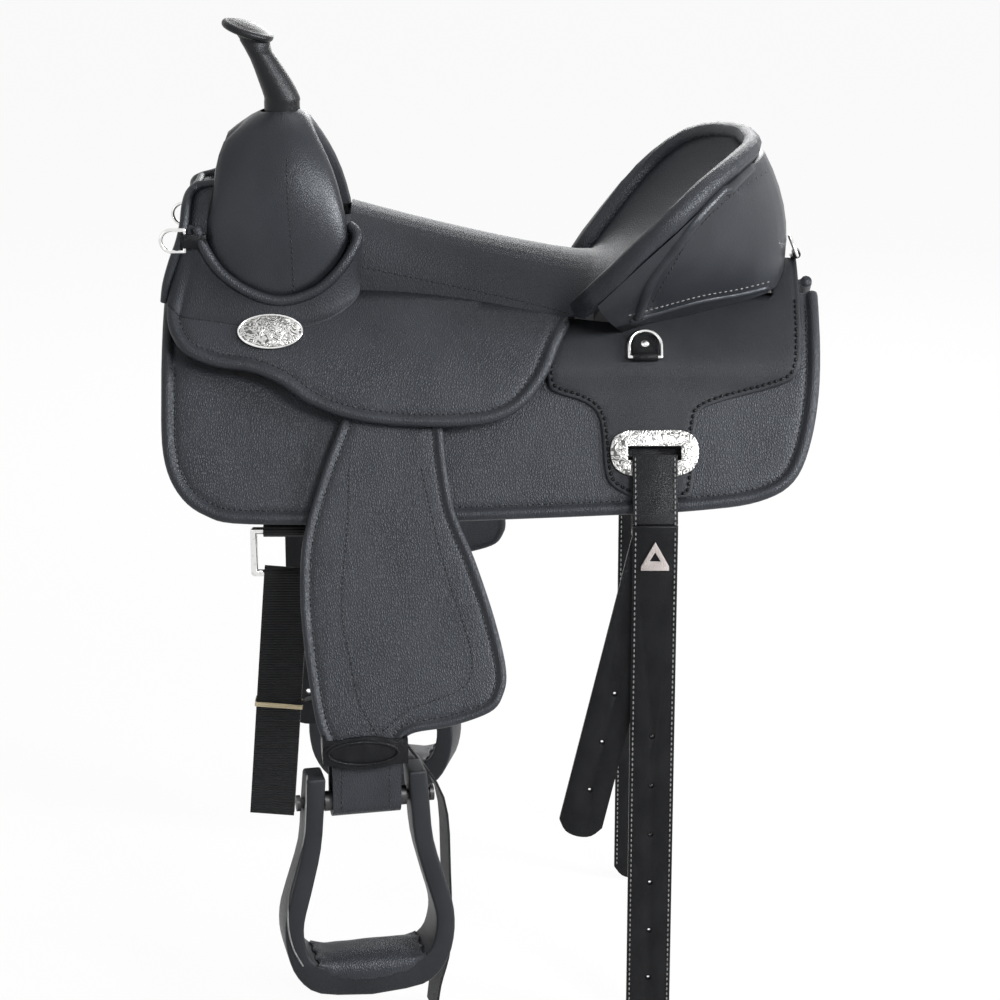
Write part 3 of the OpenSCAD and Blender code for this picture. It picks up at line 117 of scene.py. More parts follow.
# %% [markdown]
# ## Node helpers
# A finish is a small network of nodes. These helpers add a node with its settings, feed its sockets by name with
# a value or a link, and open a group, so that each finish below reads as a list of what it is made of.


# %% Node helpers
def plug(tree, value, socket):
    if isinstance(value, bpy.types.NodeSocket):
        tree.links.new(value, socket)
    else:
        socket.default_value = value


def add_node(tree, kind, settings=None, **inputs):
    made = tree.nodes.new(kind)
    for key, value in (settings or {}).items():
        setattr(made, key, value)
    for key, value in inputs.items():
        plug(tree, value, made.inputs[key.replace("_", " ")])
    return made


def math_node(tree, operation, *values):
    made = add_node(tree, "ShaderNodeMath", {"operation": operation})
    for value, socket in zip(values, made.inputs):
        plug(tree, value, socket)
    return made.outputs[0]


def new_group(name, inputs, outputs):
    group = bpy.data.node_groups.new(name, "ShaderNodeTree")
    for key, value in inputs.items():
        socket = group.interface.new_socket(key, in_out="INPUT", socket_type="NodeSocketFloat")
        socket.default_value = value
    for key in outputs:
        group.interface.new_socket(key, in_out="OUTPUT", socket_type="NodeSocketFloat")
    return group, group.nodes.new("NodeGroupInput").outputs, group.nodes.new("NodeGroupOutput").inputs


# %% [markdown]
# ## Shared effects
# Leather has two scales of detail: pebbles about a millimetre across, and slow changes of tone where
# the hide took the dye differently. Webbing has ribs across the strap and a finer weave along it.
# Both effects serve several finishes, so each one is a group with named inputs.

# %% Leather grain group
HIDE_TURN, HIDE_STRETCH = (0.0, 0.45, 0.0), (1.45, 1.2, 0.8)
DOME_SLOPE, CREASES_PER_PEBBLE, RELIEF_SHARE = 3.0, 2.0, 0.5
grain, grain_in, grain_out = new_group(
    "hide_grain", {"Pebbles": 330.0, "Patches": 16.0, "Wrinkles": 0.0}, ("Height", "Tone")
)
hide = add_node(grain, "ShaderNodeTexCoord").outputs["Object"]
lie = add_node(grain, "ShaderNodeMapping", None, Vector=hide, Rotation=HIDE_TURN, Scale=HIDE_STRETCH)
place = lie.outputs["Vector"]
pebbles = add_node(
    grain, "ShaderNodeTexVoronoi", {"feature": "DISTANCE_TO_EDGE"}, Vector=place, Scale=grain_in["Pebbles"]
)
steep = math_node(grain, "MULTIPLY", pebbles.outputs["Distance"], DOME_SLOPE)
domes = math_node(grain, "MINIMUM", steep, 1.0)
fine = math_node(grain, "MULTIPLY", grain_in["Pebbles"], CREASES_PER_PEBBLE)
creases = add_node(grain, "ShaderNodeTexNoise", None, Vector=place, Scale=fine, Detail=2.0)
patches = add_node(grain, "ShaderNodeTexNoise", None, Vector=place, Scale=grain_in["Patches"], Detail=5.0)
both = math_node(grain, "MULTIPLY", math_node(grain, "ADD", domes, creases.outputs["Fac"]), RELIEF_SHARE)
folds = math_node(grain, "MULTIPLY", patches.outputs["Fac"], grain_in["Wrinkles"])
grain.links.new(math_node(grain, "ADD", both, folds), grain_out["Height"])
grain.links.new(patches.outputs["Fac"], grain_out["Tone"])

# %% Webbing weave group
FUZZ_SCALE = 90.0
weave, weave_in, weave_out = new_group("strap_weave", {"Ribs": 116.0, "Threads": 260.0}, ("Height", "Tone"))
place = add_node(weave, "ShaderNodeTexCoord").outputs["Object"]
ribs, threads = (
    add_node(weave, "ShaderNodeTexWave", {"bands_direction": way}, Vector=place, Scale=weave_in[key]).outputs["Fac"]
    for way, key in (("Z", "Ribs"), ("X", "Threads"))
)
fuzz = add_node(weave, "ShaderNodeTexNoise", None, Vector=place, Scale=FUZZ_SCALE, Detail=4.0)
woven = math_node(weave, "MULTIPLY", ribs, threads)
weave.links.new(math_node(weave, "ADD", woven, ribs), weave_out["Height"])
weave.links.new(fuzz.outputs["Fac"], weave_out["Tone"])
print("groups:", [g.name for g in bpy.data.node_groups])

# %% [markdown]
# ## Finishes
# One builder serves every leather, web and fleece: a group gives a height and a tone, the tone picks a
# colour between two dyes and shifts the roughness, and the height feeds a bump. What is the same all
# over, such as the specular level, is set on the shader itself.


# %% Finish builder
COOL_SHINE, COAT_ROUGHNESS = (0.90, 0.94, 1.0, 1.0), 0.22
DYE_STOPS, GRAIN_DEEP = (0.3, 0.7), 0.0010


def new_finish(name):
    material = bpy.data.materials.new(name)
    material.use_nodes = True
    return material, material.node_tree, material.node_tree.nodes["Principled BSDF"]


def shade_of(tree, amount, stops, colours):
    ramp = add_node(tree, "ShaderNodeValToRGB", None, Fac=amount)
    for element, stop, colour in zip(ramp.color_ramp.elements, stops, colours):
        element.position, element.color = stop, (*colour, 1.0)
    return ramp.outputs["Color"]


def between(tree, amount, limits):
    return add_node(
        tree, "ShaderNodeMapRange", None, Value=amount, To_Min=limits[0], To_Max=limits[1]
    ).outputs["Result"]


def cover(tree, shader, colour, rough, height, bump, deep):
    relief = add_node(tree, "ShaderNodeBump", None, Height=height, Strength=bump, Distance=deep)
    for key, value in (("Base Color", colour), ("Roughness", rough), ("Normal", relief.outputs["Normal"])):
        tree.links.new(value, shader.inputs[key])


def finish_of(name, group, dyes, roughness, bump, specular=0.5, sheen=0.0, coat=0.0, **scales):
    material, tree, shader = new_finish(name)
    effect = add_node(tree, "ShaderNodeGroup", {"node_tree": group}, **scales).outputs
    dye, rough = shade_of(tree, effect["Tone"], DYE_STOPS, dyes), between(tree, effect["Tone"], roughness)
    cover(tree, shader, dye, rough, effect["Height"], bump, GRAIN_DEEP)
    shader.inputs["Specular IOR Level"].default_value = specular
    shader.inputs["Specular Tint"].default_value = COOL_SHINE
    shader.inputs["Sheen Weight"].default_value = sheen
    shader.inputs["Coat Weight"].default_value = coat
    shader.inputs["Coat Roughness"].default_value = COAT_ROUGHNESS
    return material


# %% Leathers
GRAIN = finish_of(
    "grain_leather", grain, ((0.0150, 0.0163, 0.0198), (0.0235, 0.0253, 0.0302)), (0.34, 0.45), 0.6,
    specular=0.27,
)
DRAWN = finish_of(
    "drawn_leather", grain, ((0.0125, 0.0137, 0.0166), (0.0185, 0.0201, 0.0240)), (0.30, 0.38), 0.22,
    specular=0.30, Pebbles=420.0,
)
ROLLED = finish_of(
    "rolled_edge", grain, ((0.0120, 0.0131, 0.0160), (0.0190, 0.0205, 0.0246)), (0.30, 0.40), 0.5,
    specular=0.30,
)
SMOOTH = finish_of(
    "smooth_leather", grain, ((0.0090, 0.0096, 0.0112), (0.0150, 0.0158, 0.0182)), (0.34, 0.48), 0.4,
    specular=0.24, Pebbles=800.0,
)
SUEDE = finish_of(
    "seat_suede", grain, ((0.0125, 0.0137, 0.0165), (0.0190, 0.0206, 0.0245)), (0.46, 0.58), 0.5,
    specular=0.24, Pebbles=330.0,
)
STRAP = finish_of(
    "strap_leather", grain, ((0.004, 0.004, 0.0044), (0.009, 0.009, 0.0096)), (0.16, 0.30), 0.5,
    specular=0.14, Pebbles=700.0, Patches=34.0, Wrinkles=3.0,
)
HORN = finish_of(
    "horn_leather", grain, ((0.006, 0.006, 0.0066), (0.012, 0.012, 0.013)), (0.26, 0.40), 0.25,
    specular=0.2, coat=0.05, Pebbles=900.0,
)
LACE = finish_of(
    "lace_leather", grain, ((0.30, 0.265, 0.255), (0.42, 0.38, 0.36)), (0.55, 0.7), 0.5
)

# %% Cloth, thread and rubber
WEB = finish_of(
    "webbing", weave, ((0.007, 0.007, 0.0074), (0.014, 0.014, 0.0148)), (0.45, 0.62), 1.0, specular=0.22,
    sheen=0.03,
)
FLEECE = finish_of(
    "fleece", grain, ((0.055, 0.052, 0.049), (0.115, 0.11, 0.104)), (0.85, 0.97), 1.0, specular=0.1,
    sheen=0.5, Pebbles=260.0, Patches=60.0,
)
DARK_THREAD = finish_of(
    "dark_thread", weave, ((0.003, 0.003, 0.0033), (0.007, 0.007, 0.0075)), (0.3, 0.42), 0.4, Ribs=900.0
)
PALE_THREAD = finish_of(
    "pale_thread", weave, ((0.17, 0.17, 0.17), (0.30, 0.30, 0.295)), (0.45, 0.6), 0.6, Ribs=900.0
)
BAND = finish_of(
    "band_rubber", grain, ((0.60, 0.50, 0.30), (0.74, 0.64, 0.42)), (0.5, 0.65), 0.3, Pebbles=400.0
)
WOOD = finish_of(
    "tree_wood", weave, ((0.36, 0.25, 0.14), (0.52, 0.39, 0.24)), (0.5, 0.7), 0.3, Ribs=30.0, Threads=12.0
)
print("finishes:", len(bpy.data.materials))

# %% [markdown]
# Metal reflects its surroundings, so its finish is mostly a low roughness with fine scratches. The plates
# are engraved: the contour lines of a soft noise make scrolls whose grooves are darker and lower than the face.


# %% Metals
SCROLL_LINES, SCROLL_TWIST, GROOVE_TINT, SCUFF_TINT = 34.0, 1.2, 0.22, 0.55
SCROLL_BUMP, SCUFF_BUMP, METAL_STOPS, METAL_DEEP = 0.45, 0.08, (0.20, 0.45), 0.0005


def metal_of(name, tint, roughness, scratch, scroll=0.0):
    material, tree, shader = new_finish(name)
    shader.inputs["Metallic"].default_value = 1.0
    where = add_node(tree, "ShaderNodeTexCoord").outputs["Object"]
    scuff = add_node(tree, "ShaderNodeTexNoise", None, Vector=where, Scale=scratch, Detail=4.0).outputs["Fac"]
    height, low, bump = scuff, SCUFF_TINT, SCUFF_BUMP
    if scroll:
        leaves = add_node(
            tree, "ShaderNodeTexNoise", None, Vector=where, Scale=scroll, Detail=0.0, Distortion=SCROLL_TWIST
        )
        lines = math_node(tree, "SINE", math_node(tree, "MULTIPLY", leaves.outputs["Fac"], SCROLL_LINES))
        height = math_node(tree, "ADD", math_node(tree, "MULTIPLY", lines, 0.5), 0.5)
        low, bump = GROOVE_TINT, SCROLL_BUMP
    shade = shade_of(tree, height, METAL_STOPS, ([low * c for c in tint], tint))
    cover(tree, shader, shade, between(tree, scuff, roughness), height, bump, METAL_DEEP)
    return material


BRIGHT = metal_of("bright_steel", (0.78, 0.78, 0.77), (0.10, 0.20), 160.0)
SILVER = metal_of("plate_silver", (0.57, 0.567, 0.555), (0.24, 0.36), 220.0, scroll=120.0)
PIN = metal_of("pin_steel", (0.07, 0.07, 0.072), (0.35, 0.5), 240.0)
# The ground plate's near-black tint is painted shade: it darkens the gap under the cantle's rim roll, where the plate
# shows.
SHADED_GROUND_METAL = metal_of("ground_plate", (0.05, 0.05, 0.052), (0.5, 0.6), 120.0)
print("metals:", [m.name for m in (BRIGHT, SILVER, PIN, SHADED_GROUND_METAL)])

# %% [markdown]
# ## Stage and light
# A plain pale floor lies under the straps. To the camera, and in reflections, floor and surroundings are
# nearly white. A key lamp in front and a stronger one to the right, towards the cantle, model the dark leather with
# highlights; the other lamps only lift the shadows.

# %% Floor and surroundings
FLOOR_DROP, FLOOR_SIZE, FLOOR_ROUGHNESS, FLOOR_WHITE = 0.004, 30.0, 0.9, 0.94
FLOOR_TINT, AMBIENT = (0.86, 0.86, 0.86, 1.0), 0.10


def seen_directly(tree):
    path = add_node(tree, "ShaderNodeLightPath").outputs
    mirrored = math_node(tree, "MAXIMUM", path["Is Glossy Ray"], path["Is Transmission Ray"])
    return math_node(tree, "MAXIMUM", path["Is Camera Ray"], mirrored)


floor_mesh = bpy.data.meshes.new("floor")
floor_bm = bmesh.new()
bmesh.ops.create_grid(floor_bm, x_segments=1, y_segments=1, size=FLOOR_SIZE / 2)
bmesh.ops.translate(floor_bm, verts=floor_bm.verts, vec=(0.0, 0.0, CAD_BOX[0].z - FLOOR_DROP))
floor_bm.to_mesh(floor_mesh)
floor_bm.free()
put("floor", floor_mesh)

floor_finish, tree, matt = new_finish("floor")
matt.inputs["Base Color"].default_value = FLOOR_TINT
matt.inputs["Roughness"].default_value = FLOOR_ROUGHNESS
white = add_node(tree, "ShaderNodeEmission")
share = math_node(tree, "MULTIPLY", seen_directly(tree), FLOOR_WHITE)
mixed = add_node(tree, "ShaderNodeMixShader", None, Fac=share)
tree.links.new(matt.outputs[0], mixed.inputs[1])
tree.links.new(white.outputs[0], mixed.inputs[2])
tree.links.new(mixed.outputs[0], tree.nodes["Material Output"].inputs["Surface"])
floor_mesh.materials.append(floor_finish)

world = bpy.data.worlds.new("studio")
world.use_nodes = True
bpy.context.scene.world = world
tree = world.node_tree
tree.links.new(between(tree, seen_directly(tree), (AMBIENT, 1.0)), tree.nodes["Background"].inputs["Strength"])
tree.nodes["Background"].inputs["Color"].default_value = (1.0, 1.0, 1.0, 1.0)


# %% Lamps
def soft_lamp(name, place, size, power):
    lamp = bpy.data.lights.new(name, "AREA")
    lamp.shape, lamp.size, lamp.energy = "DISK", size, power
    stand = put(name, lamp)
    stand.location = Vector(place)
    stand.rotation_euler = (TARGET - stand.location).to_track_quat("-Z", "Y").to_euler()


soft_lamp("key", (1.6, -2.6, 1.6), 1.0, 84.0)
soft_lamp("side", (2.7, -1.1, 0.8), 1.0, 135.0)
soft_lamp("fill", (-2.4, -2.3, 0.7), 1.8, 7.0)
soft_lamp("top", (0.3, 0.3, 2.3), 1.5, 12.0)
soft_lamp("back", (0.4, 2.6, 1.0), 1.6, 40.0)
print("stage and lamps set")

# %% [markdown]
# ## The flank
# Every panel lies on the same flank: a rounded stretch beside the channel and a flat one below it. A place
# on it is x along the saddle, s down the slope and a lift out from it. Panels are cut flat in x and s, as a
# saddler cuts hide, and laid on the flank afterwards. The values repeat those of the CAD source.

# %% Flank surface
CHANNEL_HALF, FLANK_ARC = 0.032, 0.110
TOP_SLOPE, LOW_SLOPE = math.radians(36.0), math.radians(64.0)
FLANK_RADIUS = FLANK_ARC / (LOW_SLOPE - TOP_SLOPE)
SIDES = {"near": -1.0, "off": 1.0}


def on_flank(x, s, lift, side, flat=False):
    slope = LOW_SLOPE if flat else min(LOW_SLOPE, TOP_SLOPE + (s / FLANK_RADIUS))
    straight = s - FLANK_ARC if flat else max(s - FLANK_ARC, 0.0)
    y = CHANNEL_HALF + FLANK_RADIUS * (math.sin(slope) - math.sin(TOP_SLOPE))
    z = FLANK_RADIUS * (math.cos(slope) - math.cos(TOP_SLOPE))
    y += straight * math.cos(LOW_SLOPE) + lift * math.sin(slope)
    z += -straight * math.sin(LOW_SLOPE) + lift * math.cos(slope)
    return Vector((x, side * y, z))


def smooth_line(points, steps):
    p = [np.array(q, float) for q in points]
    last, line = len(p) - 1, []
    for i in range(last):
        a, b, c, d = p[max(i - 1, 0)], p[i], p[i + 1], p[min(i + 2, last)]
        for t in (j / steps for j in range(steps)):
            line.append(
                (2 * b + (c - a) * t + (2 * a - 5 * b + 4 * c - d) * t**2 + (3 * b - a - 3 * c + d) * t**3) / 2
            )
    return line + [p[last]]


def placed(shares, size, origin):
    return [(origin[0] + q[0] * size[0], origin[1] + q[1] * size[1]) for q in shares]


def even_line(points, pitch):
    p = np.array([tuple(q) for q in points], float)
    run = np.concatenate([[0.0], np.cumsum(np.linalg.norm(np.diff(p, axis=0), axis=1))])
    count = max(2, int(round(run[-1] / pitch)) + 1)
    stops = np.linspace(0.0, run[-1], count)
    return np.stack([np.interp(stops, run, p[:, k]) for k in range(p.shape[1])], axis=1)


def moved_in(points, distance):
    p = np.array([tuple(q) for q in points], float)
    along = np.gradient(p, axis=0)
    along /= np.linalg.norm(along, axis=1)[:, None]
    return p + distance * np.stack([along[:, 1], -along[:, 0]], axis=1)


# %% [markdown]
# ## Making pieces
# A piece is a mesh at the origin that rides on a body, takes its finish and hides the CAD nodes it stands for. Sheets
# and tubes
# grow row by row: a row of edges is extruded, and the new points are put in their places.


# %% Piece from a bmesh
def piece_of(bm, name, material, body, nodes=(), smooth_angle=None):
    mesh = bpy.data.meshes.new(name)
    bm.to_mesh(mesh)
    bm.free()
    mesh.materials.append(material)
    mesh.shade_smooth()
    if smooth_angle is not None:
        mesh.set_sharp_from_angle(angle=math.radians(smooth_angle))
    made = put(name, mesh)
    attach(made, body)
    if nodes:
        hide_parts(*nodes)
    print(name, "with", len(mesh.polygons), "faces rides on", body)
    return made


def body_of(node):
    return NODES[node]["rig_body"]


def evaluated(draft):
    bpy.context.view_layer.update()
    mesh = bpy.data.meshes.new_from_object(draft.evaluated_get(bpy.context.evaluated_depsgraph_get()))
    bpy.data.objects.remove(draft)
    return mesh


def face_out(bm):
    bmesh.ops.recalc_face_normals(bm, faces=bm.faces)


def thickened(bm, sheet):
    face_out(bm)
    bmesh.ops.solidify(bm, geom=bm.faces[:], thickness=sheet)
    face_out(bm)


# %% Rows of points
def verts_in(geom):
    return [g for g in geom if isinstance(g, bmesh.types.BMVert)]


def grow_row(bm, edges):
    grown = bmesh.ops.extrude_edge_only(bm, edges=edges)["geom"]
    fresh = set(verts_in(grown))
    return fresh, [g for g in grown if isinstance(g, bmesh.types.BMEdge) and fresh.issuperset(g.verts)]


def grow_rows(bm, rows, closed=False):
    lines = [[bm.verts.new(q) for q in rows[0]]]
    if closed:
        edges = bm.faces.new(lines[0]).edges[:]
    else:
        edges = [bm.edges.new(pair) for pair in zip(lines[0], lines[0][1:])]
    for row in rows[1:]:
        fresh, edges = grow_row(bm, edges)
        lines.append([next(e.other_vert(v) for e in v.link_edges if e.other_vert(v) in fresh) for v in lines[-1]])
        for v, q in zip(lines[-1], row):
            v.co = q
    if closed:
        bm.faces.new(lines[-1])
        face_out(bm)
    return lines[-1]


# %% [markdown]
# ## Leather panels
# A soft panel has a rolled edge, a sewn groove inside the roll and a flat field. The cut line is extruded inwards
# loop by loop for the roll and the groove, one face closes the field, and planes cut that face into strips so
# that it can follow the flank. Extruding the whole sheet gives the second skin and the walls between them. The
# distance from the edge then sets each point's lift.


# %% Panel builder
CREST_SHARE, GROOVE_PAST, GROOVE_WIDE = 1.85, 0.0026, 0.0021
WORN_SHARE, WORN_WIDE, ROW_WIDE, EDGE_PITCH, CLOSING_ROOM = 0.35, 0.0012, 0.0014, 0.0005, 1.2


def roll_height(d, radius, sheet, groove):
    crest = CREST_SHARE * radius
    if d < crest:
        return sheet / 2 + math.sqrt(max(radius**2 - (d - radius) ** 2, 0.0))
    return sheet - groove * math.exp(-(((d - crest - GROOVE_PAST) / GROOVE_WIDE) ** 2))


def cut_height(d, sheet, groove, row):
    worn = WORN_SHARE * sheet * math.exp(-d / WORN_WIDE)
    return sheet - worn - groove * math.exp(-(((d - row) / ROW_WIDE) ** 2))


def part_way(points, distance):
    for a, b in zip(points, points[1:]):
        step = math.dist(a, b)
        if distance <= step:
            return np.array(a, float) + (np.array(b, float) - np.array(a, float)) * distance / step
        distance -= step
    return np.array(points[-1], float)


def grow_loops(bm, edge, closing, steps):
    upper = [edge[-1], *closing, edge[0]]
    rows = [edge]
    for inward in np.cumsum(steps):
        inner = moved_in(edge, inward)
        inner[0], inner[-1] = part_way(upper[::-1], inward), part_way(upper, inward)
        rows.append(inner)
    return grow_rows(bm, [[(q[0], q[1], 0.0) for q in row] for row in rows])


def cut_field(bm, face, cell, extra):
    geom = [face, *face.edges, *face.verts]
    xs, ss = [v.co.x for v in face.verts], [v.co.y for v in face.verts]
    for axis, values, stops in ((0, xs, extra[0]), (1, ss, extra[1])):
        low, high = min(values), max(values)
        for cut in [*np.arange(low + cell, high - cell / 3, cell), *stops]:
            at, normal = [0.0, 0.0, 0.0], [0.0, 0.0, 0.0]
            at[axis], normal[axis] = cut, 1.0
            geom = bmesh.ops.bisect_plane(bm, geom=geom, plane_co=at, plane_no=normal, dist=1e-6)["geom"]


def open_slot(bm, slot):
    centres = {f: f.calc_center_median() for f in bm.faces}
    inside = [f for f, c in centres.items() if slot[0] < c.x < slot[1] and slot[2] < c.y < slot[3]]
    bmesh.ops.delete(bm, geom=inside, context="FACES")


def panel(edge, closing, steps, cell, height, depth, base, side, flat=False, slot=None):
    bm = bmesh.new()
    inner = grow_loops(bm, edge, closing, steps)
    upper = [edge[-1], *closing, edge[0]]
    run = np.cumsum([math.dist(a, b) for a, b in zip(upper, upper[1:])])
    room = CLOSING_ROOM * sum(steps)
    clear = [q for q, r in zip(closing, run) if room < r < run[-1] - room]
    field = bm.faces.new([*inner, *(bm.verts.new((q[0], q[1], 0.0)) for q in clear)])
    cut_field(bm, field, cell, (slot[:2], slot[2:]) if slot else ((), ()))
    if slot:
        open_slot(bm, slot)
    grown = bmesh.ops.extrude_face_region(bm, geom=bm.faces[:], use_keep_orig=True)["geom"]
    bmesh.ops.translate(bm, verts=verts_in(grown), vec=(0.0, 0.0, 1.0))
    fine = even_line(edge, EDGE_PITCH)
    nearest = KDTree(len(fine))
    for i, q in enumerate(fine):
        nearest.insert((q[0], q[1], 0.0), i)
    nearest.balance()
    for v in bm.verts:
        d = nearest.find((v.co.x, v.co.y, 0.0))[2]
        lift = height(d) if v.co.z > 0.5 else depth(d)
        v.co = on_flank(v.co.x, v.co.y, base(v.co.y) + lift, side, flat)
    bmesh.ops.remove_doubles(bm, verts=bm.verts, dist=2e-5)
    face_out(bm)
    return bm


# %% [markdown]
# ## Stitches
# A sewn row is a string of short thread humps. Each is a low-faced ball drawn out along the row, laid with its
# flat side on the leather.

# %% Stitch rows
STITCH_PITCH, STITCH_LENGTH, STITCH_WIDTH = 0.0056, 0.0042, 0.0017


def stitch_row(bm, points, normals, length=STITCH_LENGTH, width=STITCH_WIDTH):
    p = [Vector(q) for q in points]
    for i, here in enumerate(p):
        along = (p[min(i + 1, len(p) - 1)] - p[max(i - 1, 0)]).normalized()
        up = Vector(normals[i]).normalized()
        across = up.cross(along).normalized()
        frame_of = Matrix((along * length / 2, across * width / 2, up * width / 2)).transposed().to_4x4()
        frame_of.translation = here
        bmesh.ops.create_icosphere(bm, subdivisions=1, radius=1.0, matrix=frame_of)


def flank_stitches(bm, line, lift, side, flat=False, **sizes):
    stops = even_line(line, STITCH_PITCH)
    points = [on_flank(q[0], q[1], lift, side, flat) for q in stops]
    normals = [on_flank(q[0], q[1], lift + 0.01, side, flat) - p for q, p in zip(stops, points)]
    stitch_row(bm, points, normals, **sizes)


# %% [markdown]
# ## Skirts
# The skirts are the largest panels. Their edge is rolled round a cord, so the insets come close together over the
# roll and its groove, then the field is cut into small cells. The billet's slot is cut through both skins.

# %% Skirts
SKIRT_SHARES = [
    (0, 0), (0.0015, 0.42), (0.006, 0.70), (0.029, 0.865), (0.071, 0.96), (0.137, 0.996), (0.364, 0.99),
    (0.663, 0.96), (0.814, 0.937), (0.903, 0.90), (0.956, 0.815), (0.983, 0.64), (0.997, 0.39), (1, 0.08),
    (1, -0.03),
]
SKIRT_EDGE = smooth_line(placed(SKIRT_SHARES, (0.662, 0.237), (-0.331, 0.0)), 5)
SKIRT_SHEET, SKIRT_ROLL = 0.006, 0.006
SLOT_X, SLOT_S, SLOT_LONG, SLOT_WIDE = 0.16284, 0.1659, 0.053, 0.014
SLOT = (SLOT_X - SLOT_LONG / 2, SLOT_X + SLOT_LONG / 2, SLOT_S - SLOT_WIDE / 2, SLOT_S + SLOT_WIDE / 2)
SKIRT_GROOVE, FIELD_CELL = 0.0013, 0.014
ROLL_SHARES, GROOVE_INSETS = (0.12, 0.33, 0.55, 0.5, 0.35), (0.0013, 0.0013, 0.0016, 0.004)


def rolled_panel(edge, closing, radius, sheet, groove, base, side, **more):
    return panel(
        edge, closing, [*(share * radius for share in ROLL_SHARES), *GROOVE_INSETS], FIELD_CELL,
        lambda d: roll_height(d, radius, sheet, groove),
        lambda d: sheet - roll_height(d, radius, sheet, 0.0), base, side, **more,
    )


for label, side in SIDES.items():
    bm = rolled_panel(SKIRT_EDGE, [], SKIRT_ROLL, SKIRT_SHEET, SKIRT_GROOVE, lambda s: 0.0, side, slot=SLOT)
    nodes = ["skirt_" + label] + (["skirt_rolls"] if label == "near" else [])
    piece_of(bm, "skirt_panel_" + label, GRAIN, "saddle", nodes)

# %% [markdown]
# ## Seat jockeys
# A jockey hangs over the fender from the fork to the seat. It is cut like the skirt, but its upper side ends under
# the fork's collar and along the seam of the seat, and has no roll.

# %% Seat jockeys
JOCKEY_SHARES = [
    (0.02, 0.085), (0.004, 0.14), (0.01, 0.33), (0.049, 0.5), (0.124, 0.59), (0.21, 0.627), (0.283, 0.704),
    (0.356, 0.838), (0.454, 0.944), (0.576, 0.993), (0.695, 1), (0.793, 0.972), (0.866, 0.873), (0.927, 0.669),
    (0.963, 0.437), (0.988, 0.31),
]
COLLAR_SHARES = [
    (-0.763, 0.085), (-0.545, 0.105), (-0.297, 0.155), (0, 0.185), (0.324, 0.155), (0.604, 0.095), (0.852, 0.05)
]
SEAM_SHARES = [(0.2264, 0.056), (0.4047, 0.07), (0.6097, 0.12), (0.8147, 0.197), (0.9747, 0.262)]
JOCKEY_EDGE = smooth_line(placed(JOCKEY_SHARES, (0.410, 0.142), (-0.326, 0.0)), 5)
COLLAR_LINE = smooth_line(placed(COLLAR_SHARES, (0.066, 0.142), (-0.208, 0.0)), 4)
SEAM_LINE = smooth_line(placed(SEAM_SHARES, (0.292, 0.142), (-0.208, 0.0)), 4)
JOCKEY_LIFT, JOCKEY_SHEET, JOCKEY_ROLL, JOCKEY_GROOVE = 0.0243, 0.005, 0.0055, 0.0012

for label, side in SIDES.items():
    upper = [*reversed(SEAM_LINE), *reversed(COLLAR_LINE)]
    bm = rolled_panel(JOCKEY_EDGE, upper, JOCKEY_ROLL, JOCKEY_SHEET, JOCKEY_GROOVE, lambda s: JOCKEY_LIFT, side)
    nodes = ["jockey_" + label] + (["jockey_rolls"] if label == "near" else [])
    piece_of(bm, "jockey_panel_" + label, GRAIN, "saddle", nodes)

# %% [markdown]
# ## Rear jockeys
# The rear jockeys are firm smooth leather with a plain cut edge and a row of thick thread just inside it. They climb
# over the tree bars towards the channel, so their lift grows near the top, and the two halves meet on the middle line.

# %% Rear jockeys
REAR_SHARES = [
    (0.012, 0.027), (0, 0.3), (0, 0.419), (0.028, 0.468), (0.146, 0.514), (0.205, 0.595), (0.224, 0.824), (0.26, 0.9),
    (0.358, 0.95), (0.516, 0.95), (0.567, 0.9), (0.579, 0.622), (0.634, 0.527), (0.909, 0.441), (0.98, 0.383),
    (0.996, 0.234), (1, -0.054), (1, -0.27),
]
REAR_EDGE = smooth_line(placed(REAR_SHARES, (0.254, 0.222), (0.057, 0.0)), 4)
REAR_TOP = placed([(0.898, -0.27), (0.89, 0.027)], (0.254, 0.222), (0.057, 0.0))
REAR_LIFT, REAR_SHEET, REAR_ROW = 0.0063, 0.0035, 0.0045
DRAPE_RISE, DRAPE_LOW, DRAPE_RUN = 0.0073, 0.104, 0.022
REAR_INSETS, REAR_CELL, REAR_GROOVE, REAR_UNDER = [0.0004, 0.0010, 0.0018, 0.0013, 0.0013], 0.008, 0.0006, 0.3


def cut_off(bm, place, beyond):
    bmesh.ops.bisect_plane(
        bm, geom=[*bm.verts, *bm.edges, *bm.faces], plane_co=place, plane_no=beyond, clear_outer=True
    )
    bmesh.ops.holes_fill(bm, edges=[e for e in bm.edges if e.is_boundary])
    face_out(bm)


def rear_base(s):
    return REAR_LIFT + DRAPE_RISE * min(1.0, max(0.0, (DRAPE_LOW - s) / DRAPE_RUN))


for label, side in SIDES.items():
    bm = panel(
        REAR_EDGE, REAR_TOP, REAR_INSETS, REAR_CELL, lambda d: cut_height(d, REAR_SHEET, REAR_GROOVE, REAR_ROW),
        lambda d: REAR_UNDER * REAR_SHEET * math.exp(-d / WORN_WIDE), rear_base, side, slot=SLOT,
    )
    cut_off(bm, (0, 0, 0), (0, -side, 0))
    piece_of(bm, "rear_panel_" + label, SMOOTH, "saddle", ["rear_jockey_" + label])

# %% [markdown]
# ## Fenders
# The fender hangs flat from its pin under the jockey. Its neck is round at the top and its foot narrows to the stirrup
# leather. The whole edge is rolled like the skirt's, a little thinner.

